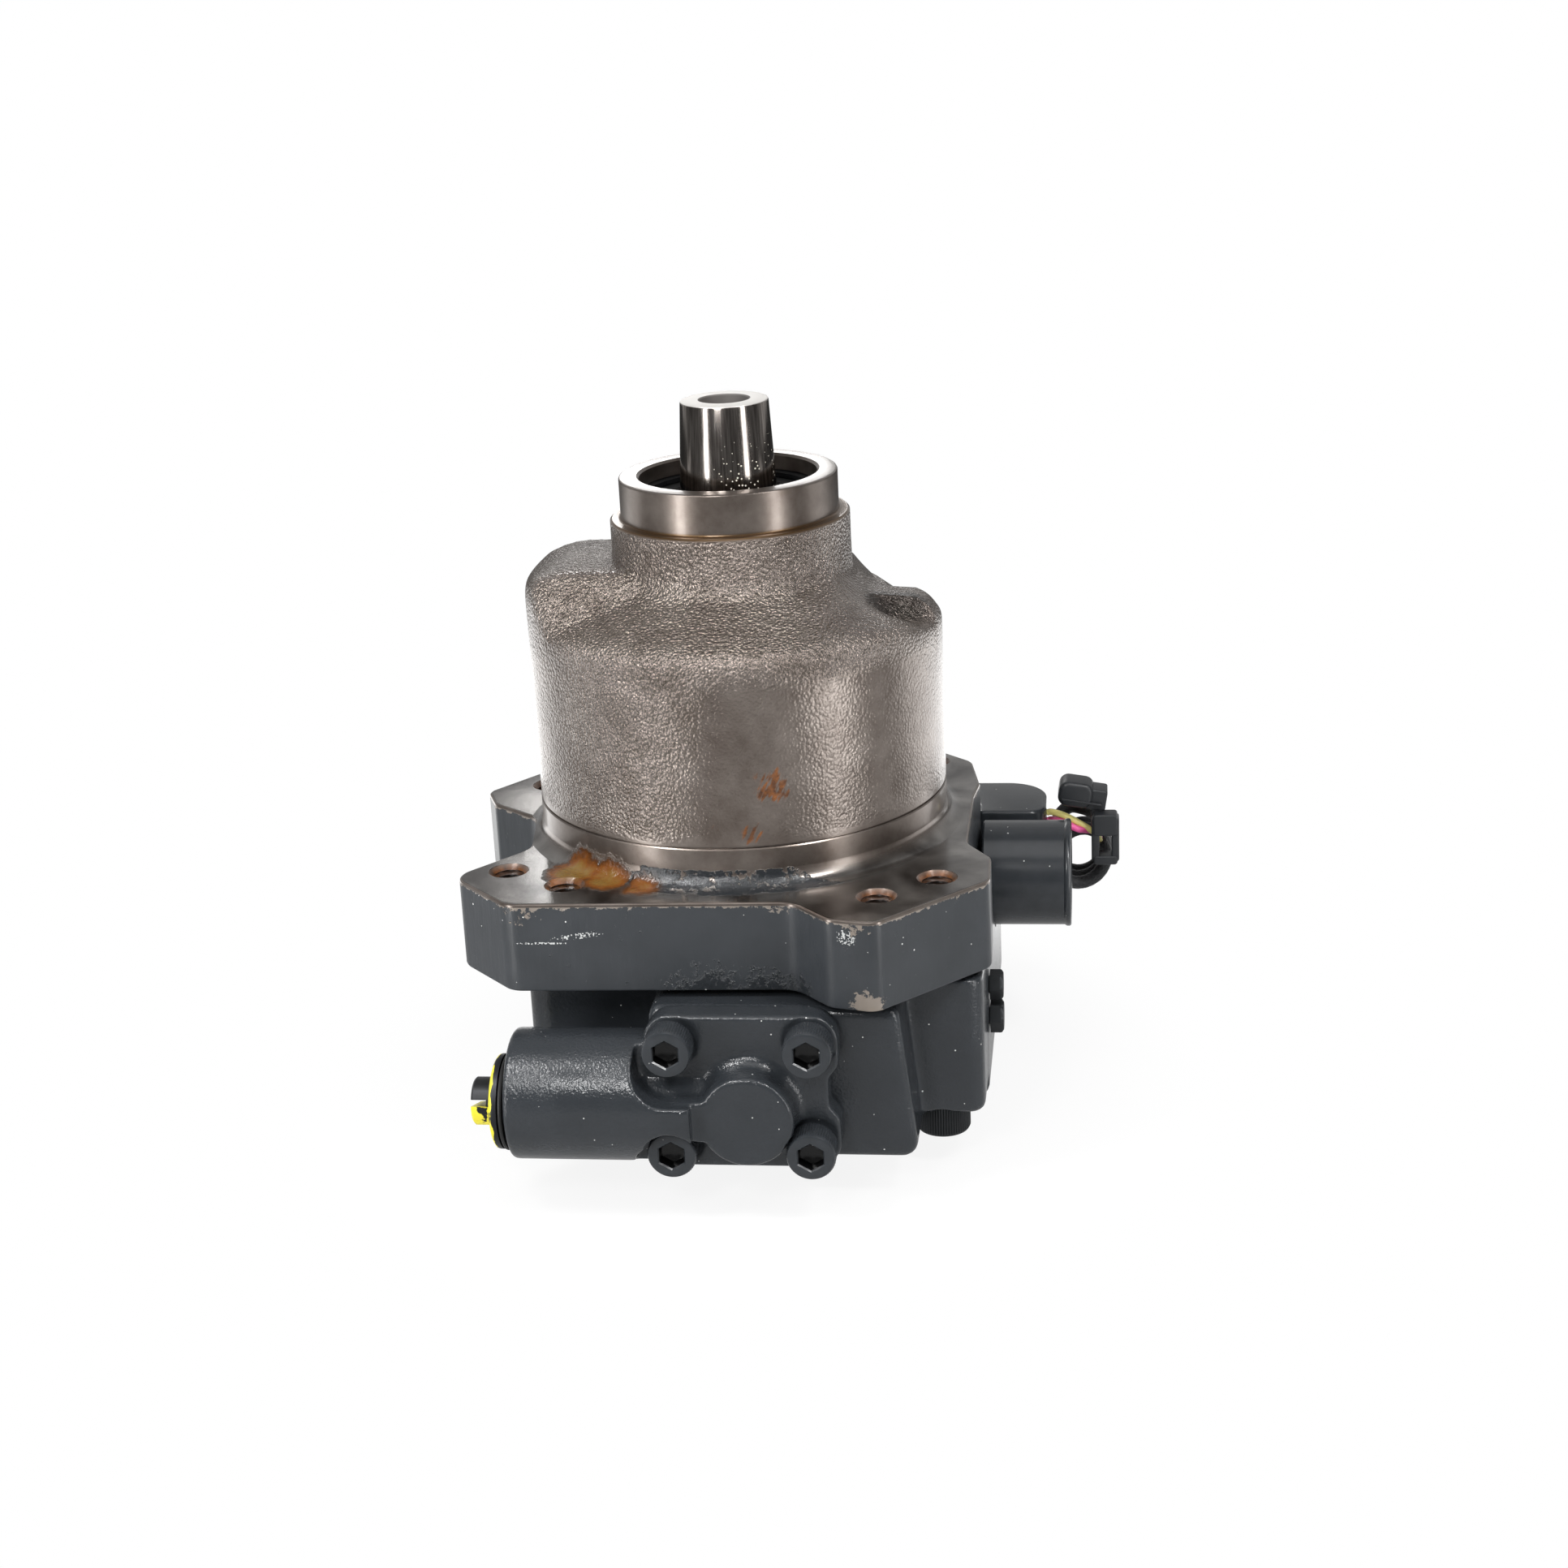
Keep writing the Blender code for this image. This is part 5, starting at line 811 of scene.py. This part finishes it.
# The neck and the shoulder have all their sand skin. Down the case less of it is left, most of that on the
# left of the front.
sand_skin = housing.data.attributes.new("sand_skin", "FLOAT", "POINT")
for i, vert in enumerate(housing.data.vertices):
    x, y, z = (c / MM for c in vert.co)
    r = math.hypot(x, y)
    skin = 0.0
    if r > 39.8 and 112.95 < z < 206.0:
        front = math.degrees(math.atan2(x, -y))
        lower = min(1.0, max(0.0, (176.0 - z) / 12.0))
        from_right = min(1.0, max(0.0, (24.0 - 0.4 * (172.0 - z) - front) / 50.0))
        from_left = min(1.0, max(0.0, (front + 75.0) / 30.0))
        skin = (1.0 - lower) + lower * (0.2 + from_right * from_left * 0.6)
    sand_skin.data[i].value = skin


# Main bolts. Four blackened M12 socket head screws, put in from below, hold the block to the flange. The
# front right one shows its knurled head.
def six(key):
    """Radius of a hexagon of that key size at an angle."""
    return lambda angle: key / 2 / math.cos((angle + math.pi / 6) % (math.pi / 3) - math.pi / 6)


def socket_head(name, place, radius, head_r, head_h, key, length, ridges=0, knurl=0.0, sides=96):
    """A socket head screw. Local z runs out of the seat on the head's side."""
    hexagon = six(key)

    def ribbed(angle):
        wave = (angle * ridges / (2 * math.pi)) % 1.0
        return head_r - knurl * abs(2 * wave - 1) ** 2

    side = ribbed if ridges else head_r
    profile = [(0, head_h * 0.42), (key * 0.28, head_h * 0.42), (key * 0.46, head_h * 0.48)]
    profile += [(hexagon, head_h * 0.5), (hexagon, head_h - 0.5), (lambda a: hexagon(a) + 0.45, head_h)]
    profile += [(head_r - 1.1, head_h), (head_r - 0.55, head_h - 0.2), (head_r - 0.25, head_h - 0.7)]
    profile += [(side, head_h - 1.2), (side, 0.9), (head_r - 0.3, 0.5), (head_r - 0.5, 0.0), (radius, 0.0)]
    profile += [(radius, -length + 1), (radius - 1, -length), (0, -length)]
    return turned(name, profile, place, sides)


black_steel, tree = new_tree("blackened_steel")
# Oil-blackened steel: nearly black with a low, slightly uneven shine.
where = add(tree, "TexCoord").outputs["Object"]
patches = add(tree, "TexNoise", {"Scale": 1000 / 4, "Detail": 3.0}, {"Vector": where})
rough = add(tree, "MapRange", {"To Min": 0.3, "To Max": 0.5}, {"Value": patches})
black = {"Base Color": linear("#2f3133"), "Metallic": 0.7}
surface = add(tree, "BsdfPrincipled", black, {"Roughness": rough})
add(tree, "OutputMaterial", links={"Surface": surface})
DOWN = Matrix.Rotation(math.pi, 4, "X")
for number, (x, y, seat) in enumerate(BOLTS, 1):
    bolt = socket_head(
        f"main_bolt_{number}_screw",
        at(x, y, seat - 0.3, DOWN),
        radius=6.0,
        head_r=9.0,
        head_h=12.0,
        key=10.0,
        length=80.2 - seat,
        ridges=62,
        knurl=0.42,
        sides=62 * 6,
    )
    put(bolt, black_steel, f"main_bolt_{number}")

# Control housing. One casting on the pad: a plate for four screws, a round boss, and the barrel of the
# control valve, whose front runs on to the right as a bar between the two left screws. It is painted like
# the block.
plate_left, plate_right, plate_low, plate_high = -21.8, 40.4, 15.1, 67.8
plate = (
    (plate_left, plate_low, 8.8), (plate_right, plate_low, 8.8), (plate_right, 32.5, 4), (37.0, 36.5, 4),
    (37.0, 46.5, 4), (plate_right, 50.5, 4), (plate_right, plate_high, 8.8), (plate_left, plate_high, 8.8),
)
BARREL_AT = at(0, -96.0, 37.7, ALONG_X)
BOSS_AT = at(11.5, 0, 36.0, ALONG_FRONT)
SPOOL_AT = at(0, -100.0, 36.5, ALONG_X)
barrel_profile = [(0, -66.0), (19.9, -66.0), (20.9, -65.6), (21.3, -64.6), (21.3, -5.8), (0, -5.8)]
barrel = turned("barrel", barrel_profile, BARREL_AT, 128)
# The barrel is cut back round the screws, which leaves the bar between them, and its back clears the pad.
over = ((-24.6, 42.2, 11.0), (4.0, 42.2, 0.5), (4.0, 80.0, 0.5), (-24.6, 80.0, 0.5))
below = ((-26.0, 0.0, 0.5), (4.0, 0.0, 0.5), (4.0, 29.8, 0.5), (-26.0, 29.8, 13.0))
cut(
    barrel,
    prism("over", rounded(over, 12), 102.3, 130.0, ALONG_FRONT),
    prism("below", rounded(below, 12), 102.3, 130.0, ALONG_FRONT),
    prism("behind", rounded(box_corners(-22.3, 30.0, 5.0, 75.0, 0.5), 2), 50.0, 92.3, ALONG_FRONT),
)
boss_profile = [(0, 93.0), (20.4, 93.0)]
boss_profile += [(20.4 - 5 * math.sin(0.2 * k), 107.0 - 5 * math.cos(0.2 * k)) for k in range(8)]
boss_profile += [(15.25, 112.4), (14.3, 113.3), (0, 113.3)]
shells = [
    prism("plate", rounded(plate), 92.3, 102.3, ALONG_FRONT, 1.2),
    turned("boss", boss_profile, BOSS_AT),
    barrel,
    prism("web", rounded(box_corners(-12.0, 2.0, 29.0, 43.0, 2.0)), 98.0, 113.5, ALONG_FRONT, 1.0),
    rod(9.0, -30.0, 11.5, at(0, -100.0, 37.5, ALONG_X)),
]
cutters = [
    rod(7.3, -70.0, -24.0, SPOOL_AT),
    rod(5.3, -30.0, 22.0, SPOOL_AT, 32),
]
for x, z in SCREWS:
    cutters.append(rod(SCREW_HOLE_R, 90.0, 104.0, at(x, 0, z, ALONG_FRONT), 32))
    cutters.append(rod(8.9, 101.6, 125.0, at(x, 0, z, ALONG_FRONT)))
control = cast("control_housing_casting", shells, cutters, 0.6, 9)
put(control, grey_paint, "control_housing")

# Control screws. Four M10 socket head screws, painted over with the housing so that paint half fills their
# knurls.
painted_steel, tree = new_tree("painted_steel")
# The anthracite paint over smooth steel: evener and less broken up than on the castings, with dust on it.
where = add(tree, "TexCoord").outputs["Object"]
patches = add(tree, "TexNoise", {"Scale": 1000 / 6, "Detail": 3.0}, {"Vector": where})
tone = add(tree, "ValToRGB", {"ramp": {0.0: "#25282b", 1.0: "#33363a"}}, {"Fac": patches})
colour = dusted(tree, where, tone, 3.0, 0.6)
# The sockets' insides are coloured near black: painted shade deep in the recesses.
across = add(tree, "VectorMath", {"operation": "MULTIPLY", 1: (1, 0, 1)}, {0: where})
depth = add(tree, "SeparateXYZ", links={0: where}).outputs["Y"]
sunk = add(tree, "MapRange", {"From Min": -0.1124, "From Max": -0.1116}, {"Value": depth})
in_socket = spread([((x, 0, z), 5.4, 4.0) for x, z in SCREWS], across, tree)
socket_shade = add(tree, "Math", {"operation": "MULTIPLY", "use_clamp": True}, {0: sunk, 1: in_socket})
colour = add(tree, "MixRGB", {"Color2": linear("#0a0a0b")}, {"Fac": socket_shade, "Color1": colour})
waves = add(tree, "TexNoise", {"Scale": 1000 / 2, "Detail": 2.0}, {"Vector": where})
bump = add(tree, "Bump", {"Strength": 0.3, "Distance": 0.0001}, {"Height": waves})
surface = add(tree, "BsdfPrincipled", {"Roughness": 0.24}, {"Base Color": colour, "Normal": bump})
add(tree, "OutputMaterial", links={"Surface": surface})
for number, (x, z) in enumerate(SCREWS, 1):
    screw = socket_head(
        f"control_screw_{number}_screw",
        at(x, -102.6, z, ALONG_FRONT),
        radius=5.0,
        head_r=8.0,
        head_h=10.0,
        key=8.0,
        length=30.3,
        ridges=56,
        knurl=0.16,
        sides=56 * 6,
    )
    put(screw, painted_steel, f"control_screw_{number}")

# Adjuster. A slotted screw with a lock nut on a rubber seal ring closes the barrel; a dab of yellow paint
# marks its setting.
rubber, tree = new_tree("nitrile_rubber")
# Black rubber, dull with a soft edge light.
surface = add(tree, "BsdfPrincipled", {"Base Color": linear("#131313"), "Roughness": 0.5})
add(tree, "OutputMaterial", links={"Surface": surface})
seal_ring = turned(
    "adjuster_seal_ring_rubber",
    ((7.4, -68.1), (14.9, -68.1), (15.6, -67.7), (15.8, -67.2), (15.6, -66.7), (14.9, -66.3), (7.4, -66.3)),
    SPOOL_AT,
    closed=True,
)
put(seal_ring, rubber, "adjuster_seal_ring")
marked, tree = new_tree("marked_black_steel")
# Black steel with yellow marking paint down the nut's outer face and over the half below the slot.
SLOT_TURN = math.radians(18.9)
where = add(tree, "TexCoord").outputs["Object"]
ragged = add(tree, "TexNoise", {"Scale": 1000 / 5, "Detail": 3.0}, {"Vector": where})
upright = add(
    tree,
    "Mapping",
    {"vector_type": "TEXTURE", "Location": (-0.0702, -0.100, 0.0365), "Rotation": (-SLOT_TURN, 0, 0)},
    {"Vector": where},
)
spot = add(tree, "SeparateXYZ", links={0: upright}).outputs
lower = add(tree, "MapRange", {"From Min": 0.0007, "From Max": -0.0007, "To Max": 0.4}, {"Value": spot["Z"]})
off_screw = add(tree, "MapRange", {"From Min": -0.0018, "From Max": -0.0012}, {"Value": spot["X"]})
stroke = add(
    tree, "MapRange", {"From Min": 0.0012, "From Max": -0.0002, "To Max": 0.42}, {"Value": spot["X"]}
)
mark = add(tree, "MixRGB", links={"Fac": off_screw, "Color1": lower, "Color2": stroke})
mark = add(tree, "Math", {"operation": "ADD"}, {0: ragged, 1: mark})
mark = add(tree, "MapRange", {"From Min": 0.8, "From Max": 0.83}, {"Value": mark})
colour = add(tree, "MixRGB", {"Color1": linear("#26272a"), "Color2": linear("#dcd02a")}, {"Fac": mark})
bare = add(tree, "MapRange", {"To Min": 0.6, "To Max": 0.0}, {"Value": mark})
surface = add(tree, "BsdfPrincipled", {"Roughness": 0.4}, {"Base Color": colour, "Metallic": bare})
add(tree, "OutputMaterial", links={"Surface": surface})
nut = turned(
    "adjuster_lock_nut_nut",
    ((7.2, -71.2), (13.6, -71.2), (14.4, -70.9), (15.2, -70.3), (15.4, -69.6), (15.4, -68.4), (7.2, -68.4)),
    SPOOL_AT,
    closed=True,
)
put(nut, marked, "adjuster_lock_nut")
adjuster = turned(
    "adjusting_screw_screw",
    (
        (0, -78.5), (7.2, -78.5), (7.8, -77.9), (7.8, -71.5), (6.9, -71.3), (6.9, -48.6), (6.3, -48.0),
        (0, -48.0),
    ),
    SPOOL_AT,
)
SLOT_AT = SPOOL_AT @ Matrix.Rotation(-SLOT_TURN, 4, "Z")
slot_cut = prism("slot", rounded(box_corners(-1.1, 1.1, -9.0, 9.0, 0.2), 3), -80.0, -73.4, SLOT_AT)
cut(adjuster, slot_cut).data.set_sharp_from_angle(angle=math.radians(SHARP))
put(adjuster, marked, "adjusting_screw", "adjuster")

# Side plugs and drain plug. Black hexagon plugs close two drillings in the right side, and a socket plug one
# in the left side.
for name, z, key in (("side_plug_upper", 49.5, 9.0), ("side_plug_lower", 38.0, 10.0)):
    place = at(85.3, -33.0, z, ALONG_X)
    head = [(0, 4.5), (key / 2 - 0.3, 4.5), (six(key - 0.2), 3.9), (six(key), 3.3), (six(key), 0.0)]
    profile = [*head, (3.0, 0.0), (3.0, -9.9), (0, -9.9)]
    put(turned(name + "_hexagon", profile, place), black_steel, name)
DRAIN_AT = at(-69.3, 12.0, 40.0, Matrix.Rotation(-math.pi / 2, 4, "Y"))
drain = socket_head("drain_plug_screw", DRAIN_AT, radius=8.5, head_r=11.5, head_h=4.0, key=8.0, length=12.0)
put(drain, black_steel, "drain_plug")

# Solenoid. A painted steel can with a rolled rim, let into the block's right side under the flange. The
# plunger slides inside it.
can_profile = (
    (9.0, 81.0), (18.2, 81.0), (18.7, 81.5), (18.7, 109.6), (19.0, 110.0), (19.2, 110.5), (19.2, 111.3),
    (18.9, 111.8),
    (18.4, 112.0), (17.6, 111.8), (17.2, 111.2), (6.0, 111.2), (5.4, 111.6), (0, 111.6),
)
can_inside = ((0, 106.0), (9.0, 106.0))
can = turned("solenoid_can_shell", (*can_inside, *can_profile), CAN_AT, 128)
put(can, painted_steel, "solenoid_can")

# Terminal box. A painted box with a round end behind the can: a lid over a smaller body. The leads leave by
# its round end.
lid = ((78.2, 50, 2), (102.7, 50, 7), (102.7, 83, 15), (71.0, 83, 4), (78.2, 57, 2))
under_box = ((85.3, 50.6, 1), (101.9, 50.6, 10.4), (101.9, 82.4, 10.4), (85.3, 82.4, 2))
box = merge(
    "terminal_box_shell",
    prism("lid", rounded(lid, 12), 67.4, 81.8, edge=1.2),
    prism("under", rounded(under_box, 12), 50.0, 79.0, edge=1.0),
)
put(box, painted_steel, "terminal_box")


# Harness sleeve. A black braided polyester sleeve, 4.8 mm thick, wound into a flat coil of two and a half
# turns beside the solenoid. Its weave stands out of the tube as small diamonds.
def smooth_route(points, steps):
    """Points on a smooth curve through all the given points."""
    points = [Vector(p) for p in points]
    ends = [2 * points[0] - points[1], *points, 2 * points[-1] - points[-2]]
    route = []
    for a, b, c, d in zip(ends, ends[1:], ends[2:], ends[3:]):
        for i in range(steps):
            t = i / steps
            bend, twist = 2 * a - 5 * b + 4 * c - d, 3 * b - a - 3 * c + d
            route.append(0.5 * (2 * b + (c - a) * t + bend * t**2 + twist * t**3))
    return [*route, points[-1]]


def tube(name, path, radius, sides, relief=None):
    """A round tube along the path. Relief adds to the radius at an angle and a distance along the path."""
    rings, along, last = [[path[0]]], 0.0, None
    for i, centre in enumerate(path):
        ahead = (path[min(i + 1, len(path) - 1)] - path[max(i - 1, 0)]).normalized()
        across = ahead.orthogonal() if last is None else last - ahead * last.dot(ahead)
        last = across.normalized()
        other = ahead.cross(last)
        along += (centre - path[i - 1]).length if i else 0.0
        ring = []
        for k in range(sides):
            angle = 2 * math.pi * k / sides
            r = radius + (relief(angle, along) if relief else 0.0)
            ring.append(centre + (last * math.cos(angle) + other * math.sin(angle)) * r)
        rings.append(ring)
    return solid(name, [*rings, [path[-1]]], sharp=60)


SLEEVE_R = 2.4
COIL_CENTRE = (114.7, 57.0, 60.8)
COIL_R, COIL_TURNS, COIL_STEP, COIL_POINTS = 10.0, 2.6, 6.0, 32
COIL_YAW, COIL_START = math.radians(20), math.radians(38)
STRANDS, WEAVE_PITCH, WEAVE_DEPTH = 12, 5.2, 0.34
coil = []
for i in range(COIL_POINTS + 1):
    turns = COIL_TURNS * i / COIL_POINTS
    angle = COIL_START - 2 * math.pi * turns
    out = COIL_R * math.cos(angle)
    step_y = COIL_STEP * turns + out * math.sin(COIL_YAW)
    coil.append(Vector(COIL_CENTRE) + Vector((out * math.cos(COIL_YAW), step_y, COIL_R * math.sin(angle))))
tail = (
    (105.6, 70.6, 66.4), (107.2, 72.0, 72.4), (111.0, 71.6, 76.0), (115.8, 67.8, 76.8), (119.8, 63.0, 76.8),
    (121.9, 59.3, 76.8),
)
sleeve_path = [*smooth_route([*coil, *tail], 12), Vector((121.9, 55.8, 76.8))]


def weave(angle, along):
    """Two sets of strands that cross as diamonds."""
    one = math.cos(STRANDS / 2 * angle + 2 * math.pi * along / WEAVE_PITCH)
    two = math.cos(STRANDS / 2 * angle - 2 * math.pi * along / WEAVE_PITCH)
    return WEAVE_DEPTH * (max(abs(one), abs(two)) - 0.85)


braid, tree = new_tree("braided_polyester")
# Black yarn, dull, with a faint sheen where the strands turn.
surface = add(
    tree, "BsdfPrincipled", {"Base Color": linear("#16171a"), "Roughness": 0.62, "Sheen Weight": 0.25}
)
add(tree, "OutputMaterial", links={"Surface": surface})
sleeve = tube("harness_sleeve_braid", sleeve_path, SLEEVE_R, 48, weave)
put(sleeve, braid, "harness_sleeve")

# Leads. Two thin wires in soft PVC, one yellow and one pink. They come out of the terminal box's round end
# and go into the mouth of the sleeve.
LEAD_R = 1.2
BOX_END = 102.8
mouth = coil[0]
lead_back = (mouth - sleeve_path[12]).normalized()
for name, code, shift, points in (
    (
        "lead_yellow",
        "#ece08a",
        -1.45,
        ((0, 62.5, 77.0), (1.8, 62.2, 77.3), (6.4, 59.6, 76.8), (11.5, 58.6, 74.4)),
    ),
    (
        "lead_pink",
        "#ea5f9f",
        1.45,
        ((0, 63.5, 73.4), (1.8, 63.2, 74.0), (6.4, 58.4, 74.6), (11.5, 57.0, 72.4)),
    ),
):
    aside = Vector((0, shift, 0))
    path = [Vector((BOX_END + out, y, z)) for out, y, z in points]
    path += [mouth + lead_back * 4.0 + aside, mouth + lead_back * 0.6 + aside]
    wire, tree = new_tree(name.replace("lead", "pvc"))
    # Clean coloured plastic with a soft gloss.
    surface = add(tree, "BsdfPrincipled", {"Base Color": linear(code), "Roughness": 0.38})
    add(tree, "OutputMaterial", links={"Surface": surface})
    lead = tube(name + "_insulation", smooth_route(path, 10), LEAD_R, 24)
    put(lead, wire, name)

# Connector. A moulded black plug with a round back, a smaller block at its end and a strap that carries the
# latch, which is an open frame.
plug_plastic, tree = new_tree("moulded_nylon")
# Black plastic, satin, with the faint grain of the mould.
where = add(tree, "TexCoord").outputs["Object"]
grain = add(tree, "TexNoise", {"Scale": 1000 / 0.6, "Detail": 2.0}, {"Vector": where})
bump = add(tree, "Bump", {"Strength": 0.25, "Distance": 0.0001}, {"Height": grain})
surface = add(tree, "BsdfPrincipled", {"Base Color": linear("#232528"), "Roughness": 0.42}, {"Normal": bump})
add(tree, "OutputMaterial", links={"Surface": surface})
TIPPED = at(115.5, 0, 86.0) @ Matrix.Rotation(math.radians(9), 4, "Y") @ at(-115.5, 0, -86.0) @ ALONG_FRONT
back_half = prism("plug", rounded(box_corners(107.0, 119.6, 82.0, 91.4, 3.4)), -63.6, -52.0, TIPPED, 1.6)
end_block = prism("plug_end", rounded(box_corners(117.0, 124.6, 82.0, 89.6, 1.0)), -62.6, -53.0, TIPPED, 0.6)
seam = prism("plug_seam", rounded(box_corners(108.4, 123.2, 84.2, 85.0, 0.3), 3), -64.0, -51.6, TIPPED, 0.2)
connector = merge("connector_body_moulding", back_half, end_block, seam)
put(connector, plug_plastic, "connector_body")
strap = prism("strap", rounded(box_corners(118.8, 123.6, 74.0, 81.6, 0.8)), -57.6, -53.6, ALONG_FRONT, 0.5)
frame_parts = [strap]
for k, (left, right, low, high) in enumerate(
    (
        (119.0, 121.9, 62.5, 79.5), (126.2, 129.0, 62.5, 79.5), (119.6, 128.4, 61.5, 64.8),
        (119.6, 128.4, 72.6, 80.7),
    )
):
    bar = rounded(box_corners(left, right, low, high, 1.2))
    frame_parts.append(prism(f"latch_{k}", bar, -55.5, -48.8 - (0.4 if k < 2 else 0.0), ALONG_FRONT, 0.6))
latch = merge("connector_latch_moulding", *frame_parts)
put(latch, plug_plastic, "connector_latch")

# Drive shaft. Hardened steel, ground to a taper at its end, with a tapped centre hole. It runs in two
# bearings inside the castings.
steel, tree = new_tree("ground_steel")
# Bright ground steel: clear reflections under a slight grey-brown film, with pale dust on the right side.
where = add(tree, "TexCoord").outputs["Object"]
patches = add(tree, "TexNoise", {"Scale": 1000 / 8, "Detail": 3.0}, {"Vector": where})
rough = add(tree, "MapRange", {"To Min": 0.1, "To Max": 0.2}, {"Value": patches})
dust = add(tree, "TexVoronoi", {"Scale": 1000 / 1.6}, {"Vector": where})
spot = add(tree, "SeparateXYZ", links={0: where}).outputs
settled = add(tree, "MapRange", {"From Min": 0.2405, "From Max": 0.2220, "To Max": 0.2}, {"Value": spot["Z"]})
right = add(tree, "MapRange", {"From Min": -0.012, "From Max": 0.006}, {"Value": spot["X"]})
settled = add(tree, "Math", {"operation": "MULTIPLY"}, {0: settled, 1: right})
speck = add(tree, "Math", {"operation": "LESS_THAN"}, {0: dust.outputs["Distance"], 1: settled})
# Grinding leaves fine lines along the taper.
drawn = add(tree, "Mapping", {"vector_type": "TEXTURE", "Scale": (0.0007, 0.0007, 0.06)}, {"Vector": where})
lines = add(tree, "TexNoise", {"Scale": 1.0, "Detail": 2.0}, {"Vector": drawn})
tone = add(tree, "ValToRGB", {"ramp": {0.35: "#7b746f", 0.65: "#aaa39d"}}, {"Fac": lines})
colour = add(tree, "MixRGB", {"Color2": linear("#d8d3c4")}, {"Fac": speck, "Color1": tone})
clean = add(tree, "Math", {"operation": "SUBTRACT", 0: 1.0}, {1: speck})
# The faced end is paler than the ground taper and the tapped hole greyer, both duller.
faced = add(tree, "MapRange", {"From Min": 0.2444, "From Max": 0.2448}, {"Value": spot["Z"]})
plan = add(tree, "CombineXYZ", links={0: spot["X"], 1: spot["Y"]})
off = add(tree, "VectorMath", {"operation": "LENGTH"}, {0: plan})
bored = add(tree, "MapRange", {"From Min": 0.0089, "From Max": 0.0086}, {"Value": off.outputs["Value"]})
ends = add(tree, "MixRGB", {"Color1": linear("#d6d3cf"), "Color2": linear("#6f6b68")}, {"Fac": bored})
faced = add(tree, "Math", {"operation": "MAXIMUM"}, {0: faced, 1: bored})
pale = add(tree, "MixRGB", links={"Fac": faced, "Color1": colour, "Color2": ends})
rough = add(tree, "MapRange", {"To Max": 0.5}, {"Value": faced, "To Min": rough})
bare = add(tree, "MapRange", {"To Max": 0.4}, {"Value": faced, "To Min": clean})
surface = add(tree, "BsdfPrincipled", links={"Base Color": pale, "Metallic": bare, "Roughness": rough})
add(tree, "OutputMaterial", links={"Surface": surface})
taper = 0.05
end_r = 14.7
top_profile = [*threaded(7.0, 8.3, 237.0, 22.0, 1.5)[::-1], (8.3, 244.6), (8.7, 245.0)]
shaft_profile = [
    *top_profile, (13.9, 245.0), (14.5, 244.75), (14.75, 244.1), (end_r + taper * 31, 214.0), (17.5, 212.5),
    (17.5, 184.8),
    (20.5, 184.8), (20.5, 178.8), (15.0, 174.8), (15.0, 67.4), (12.5, 65.4), (12.5, 46.1), (0, 46.1),
]
put(turned("drive_shaft_ground", shaft_profile, sides=160), steel, "drive_shaft", "rotor")

# The rest. Pieces inside, and the shaft's seal and its ring, keep the shapes of the CAD. Each gets the metal
# or rubber that it is made of.
bronze, tree = new_tree("bearing_bronze")
# Warm yellow-brown metal, softly polished.
surface = add(tree, "BsdfPrincipled", {"Base Color": linear("#b08a4c"), "Metallic": 1.0, "Roughness": 0.34})
add(tree, "OutputMaterial", links={"Surface": surface})
pistons = [f"piston_{n}" for n in range(1, 8)]
slippers = [f"slipper_{n}" for n in range(1, 8)]
bearings = [f"{end}_bearing_{race}" for end in ("front", "rear") for race in ("cup", "cone")]
turning = ["cylinder_block", "block_spring", "ball_guide", "retainer_plate", *pistons]
tilting = ["swash_plate", "servo_piston", "bias_piston", "bias_spring"]
control_parts = ["control_spool", "spool_spring", "solenoid_plunger"]
finishes = {
    steel: [*turning, *tilting, *control_parts, *bearings],
    bronze: ["cradle_shell_left", "cradle_shell_right", "valve_plate", *slippers],
    rubber: ["shaft_seal"],
    black_steel: ["seal_retaining_ring"],
}
for finish, names in finishes.items():
    for name in names:
        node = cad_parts[name]
        node.data.materials.clear()
        node.data.materials.append(finish)
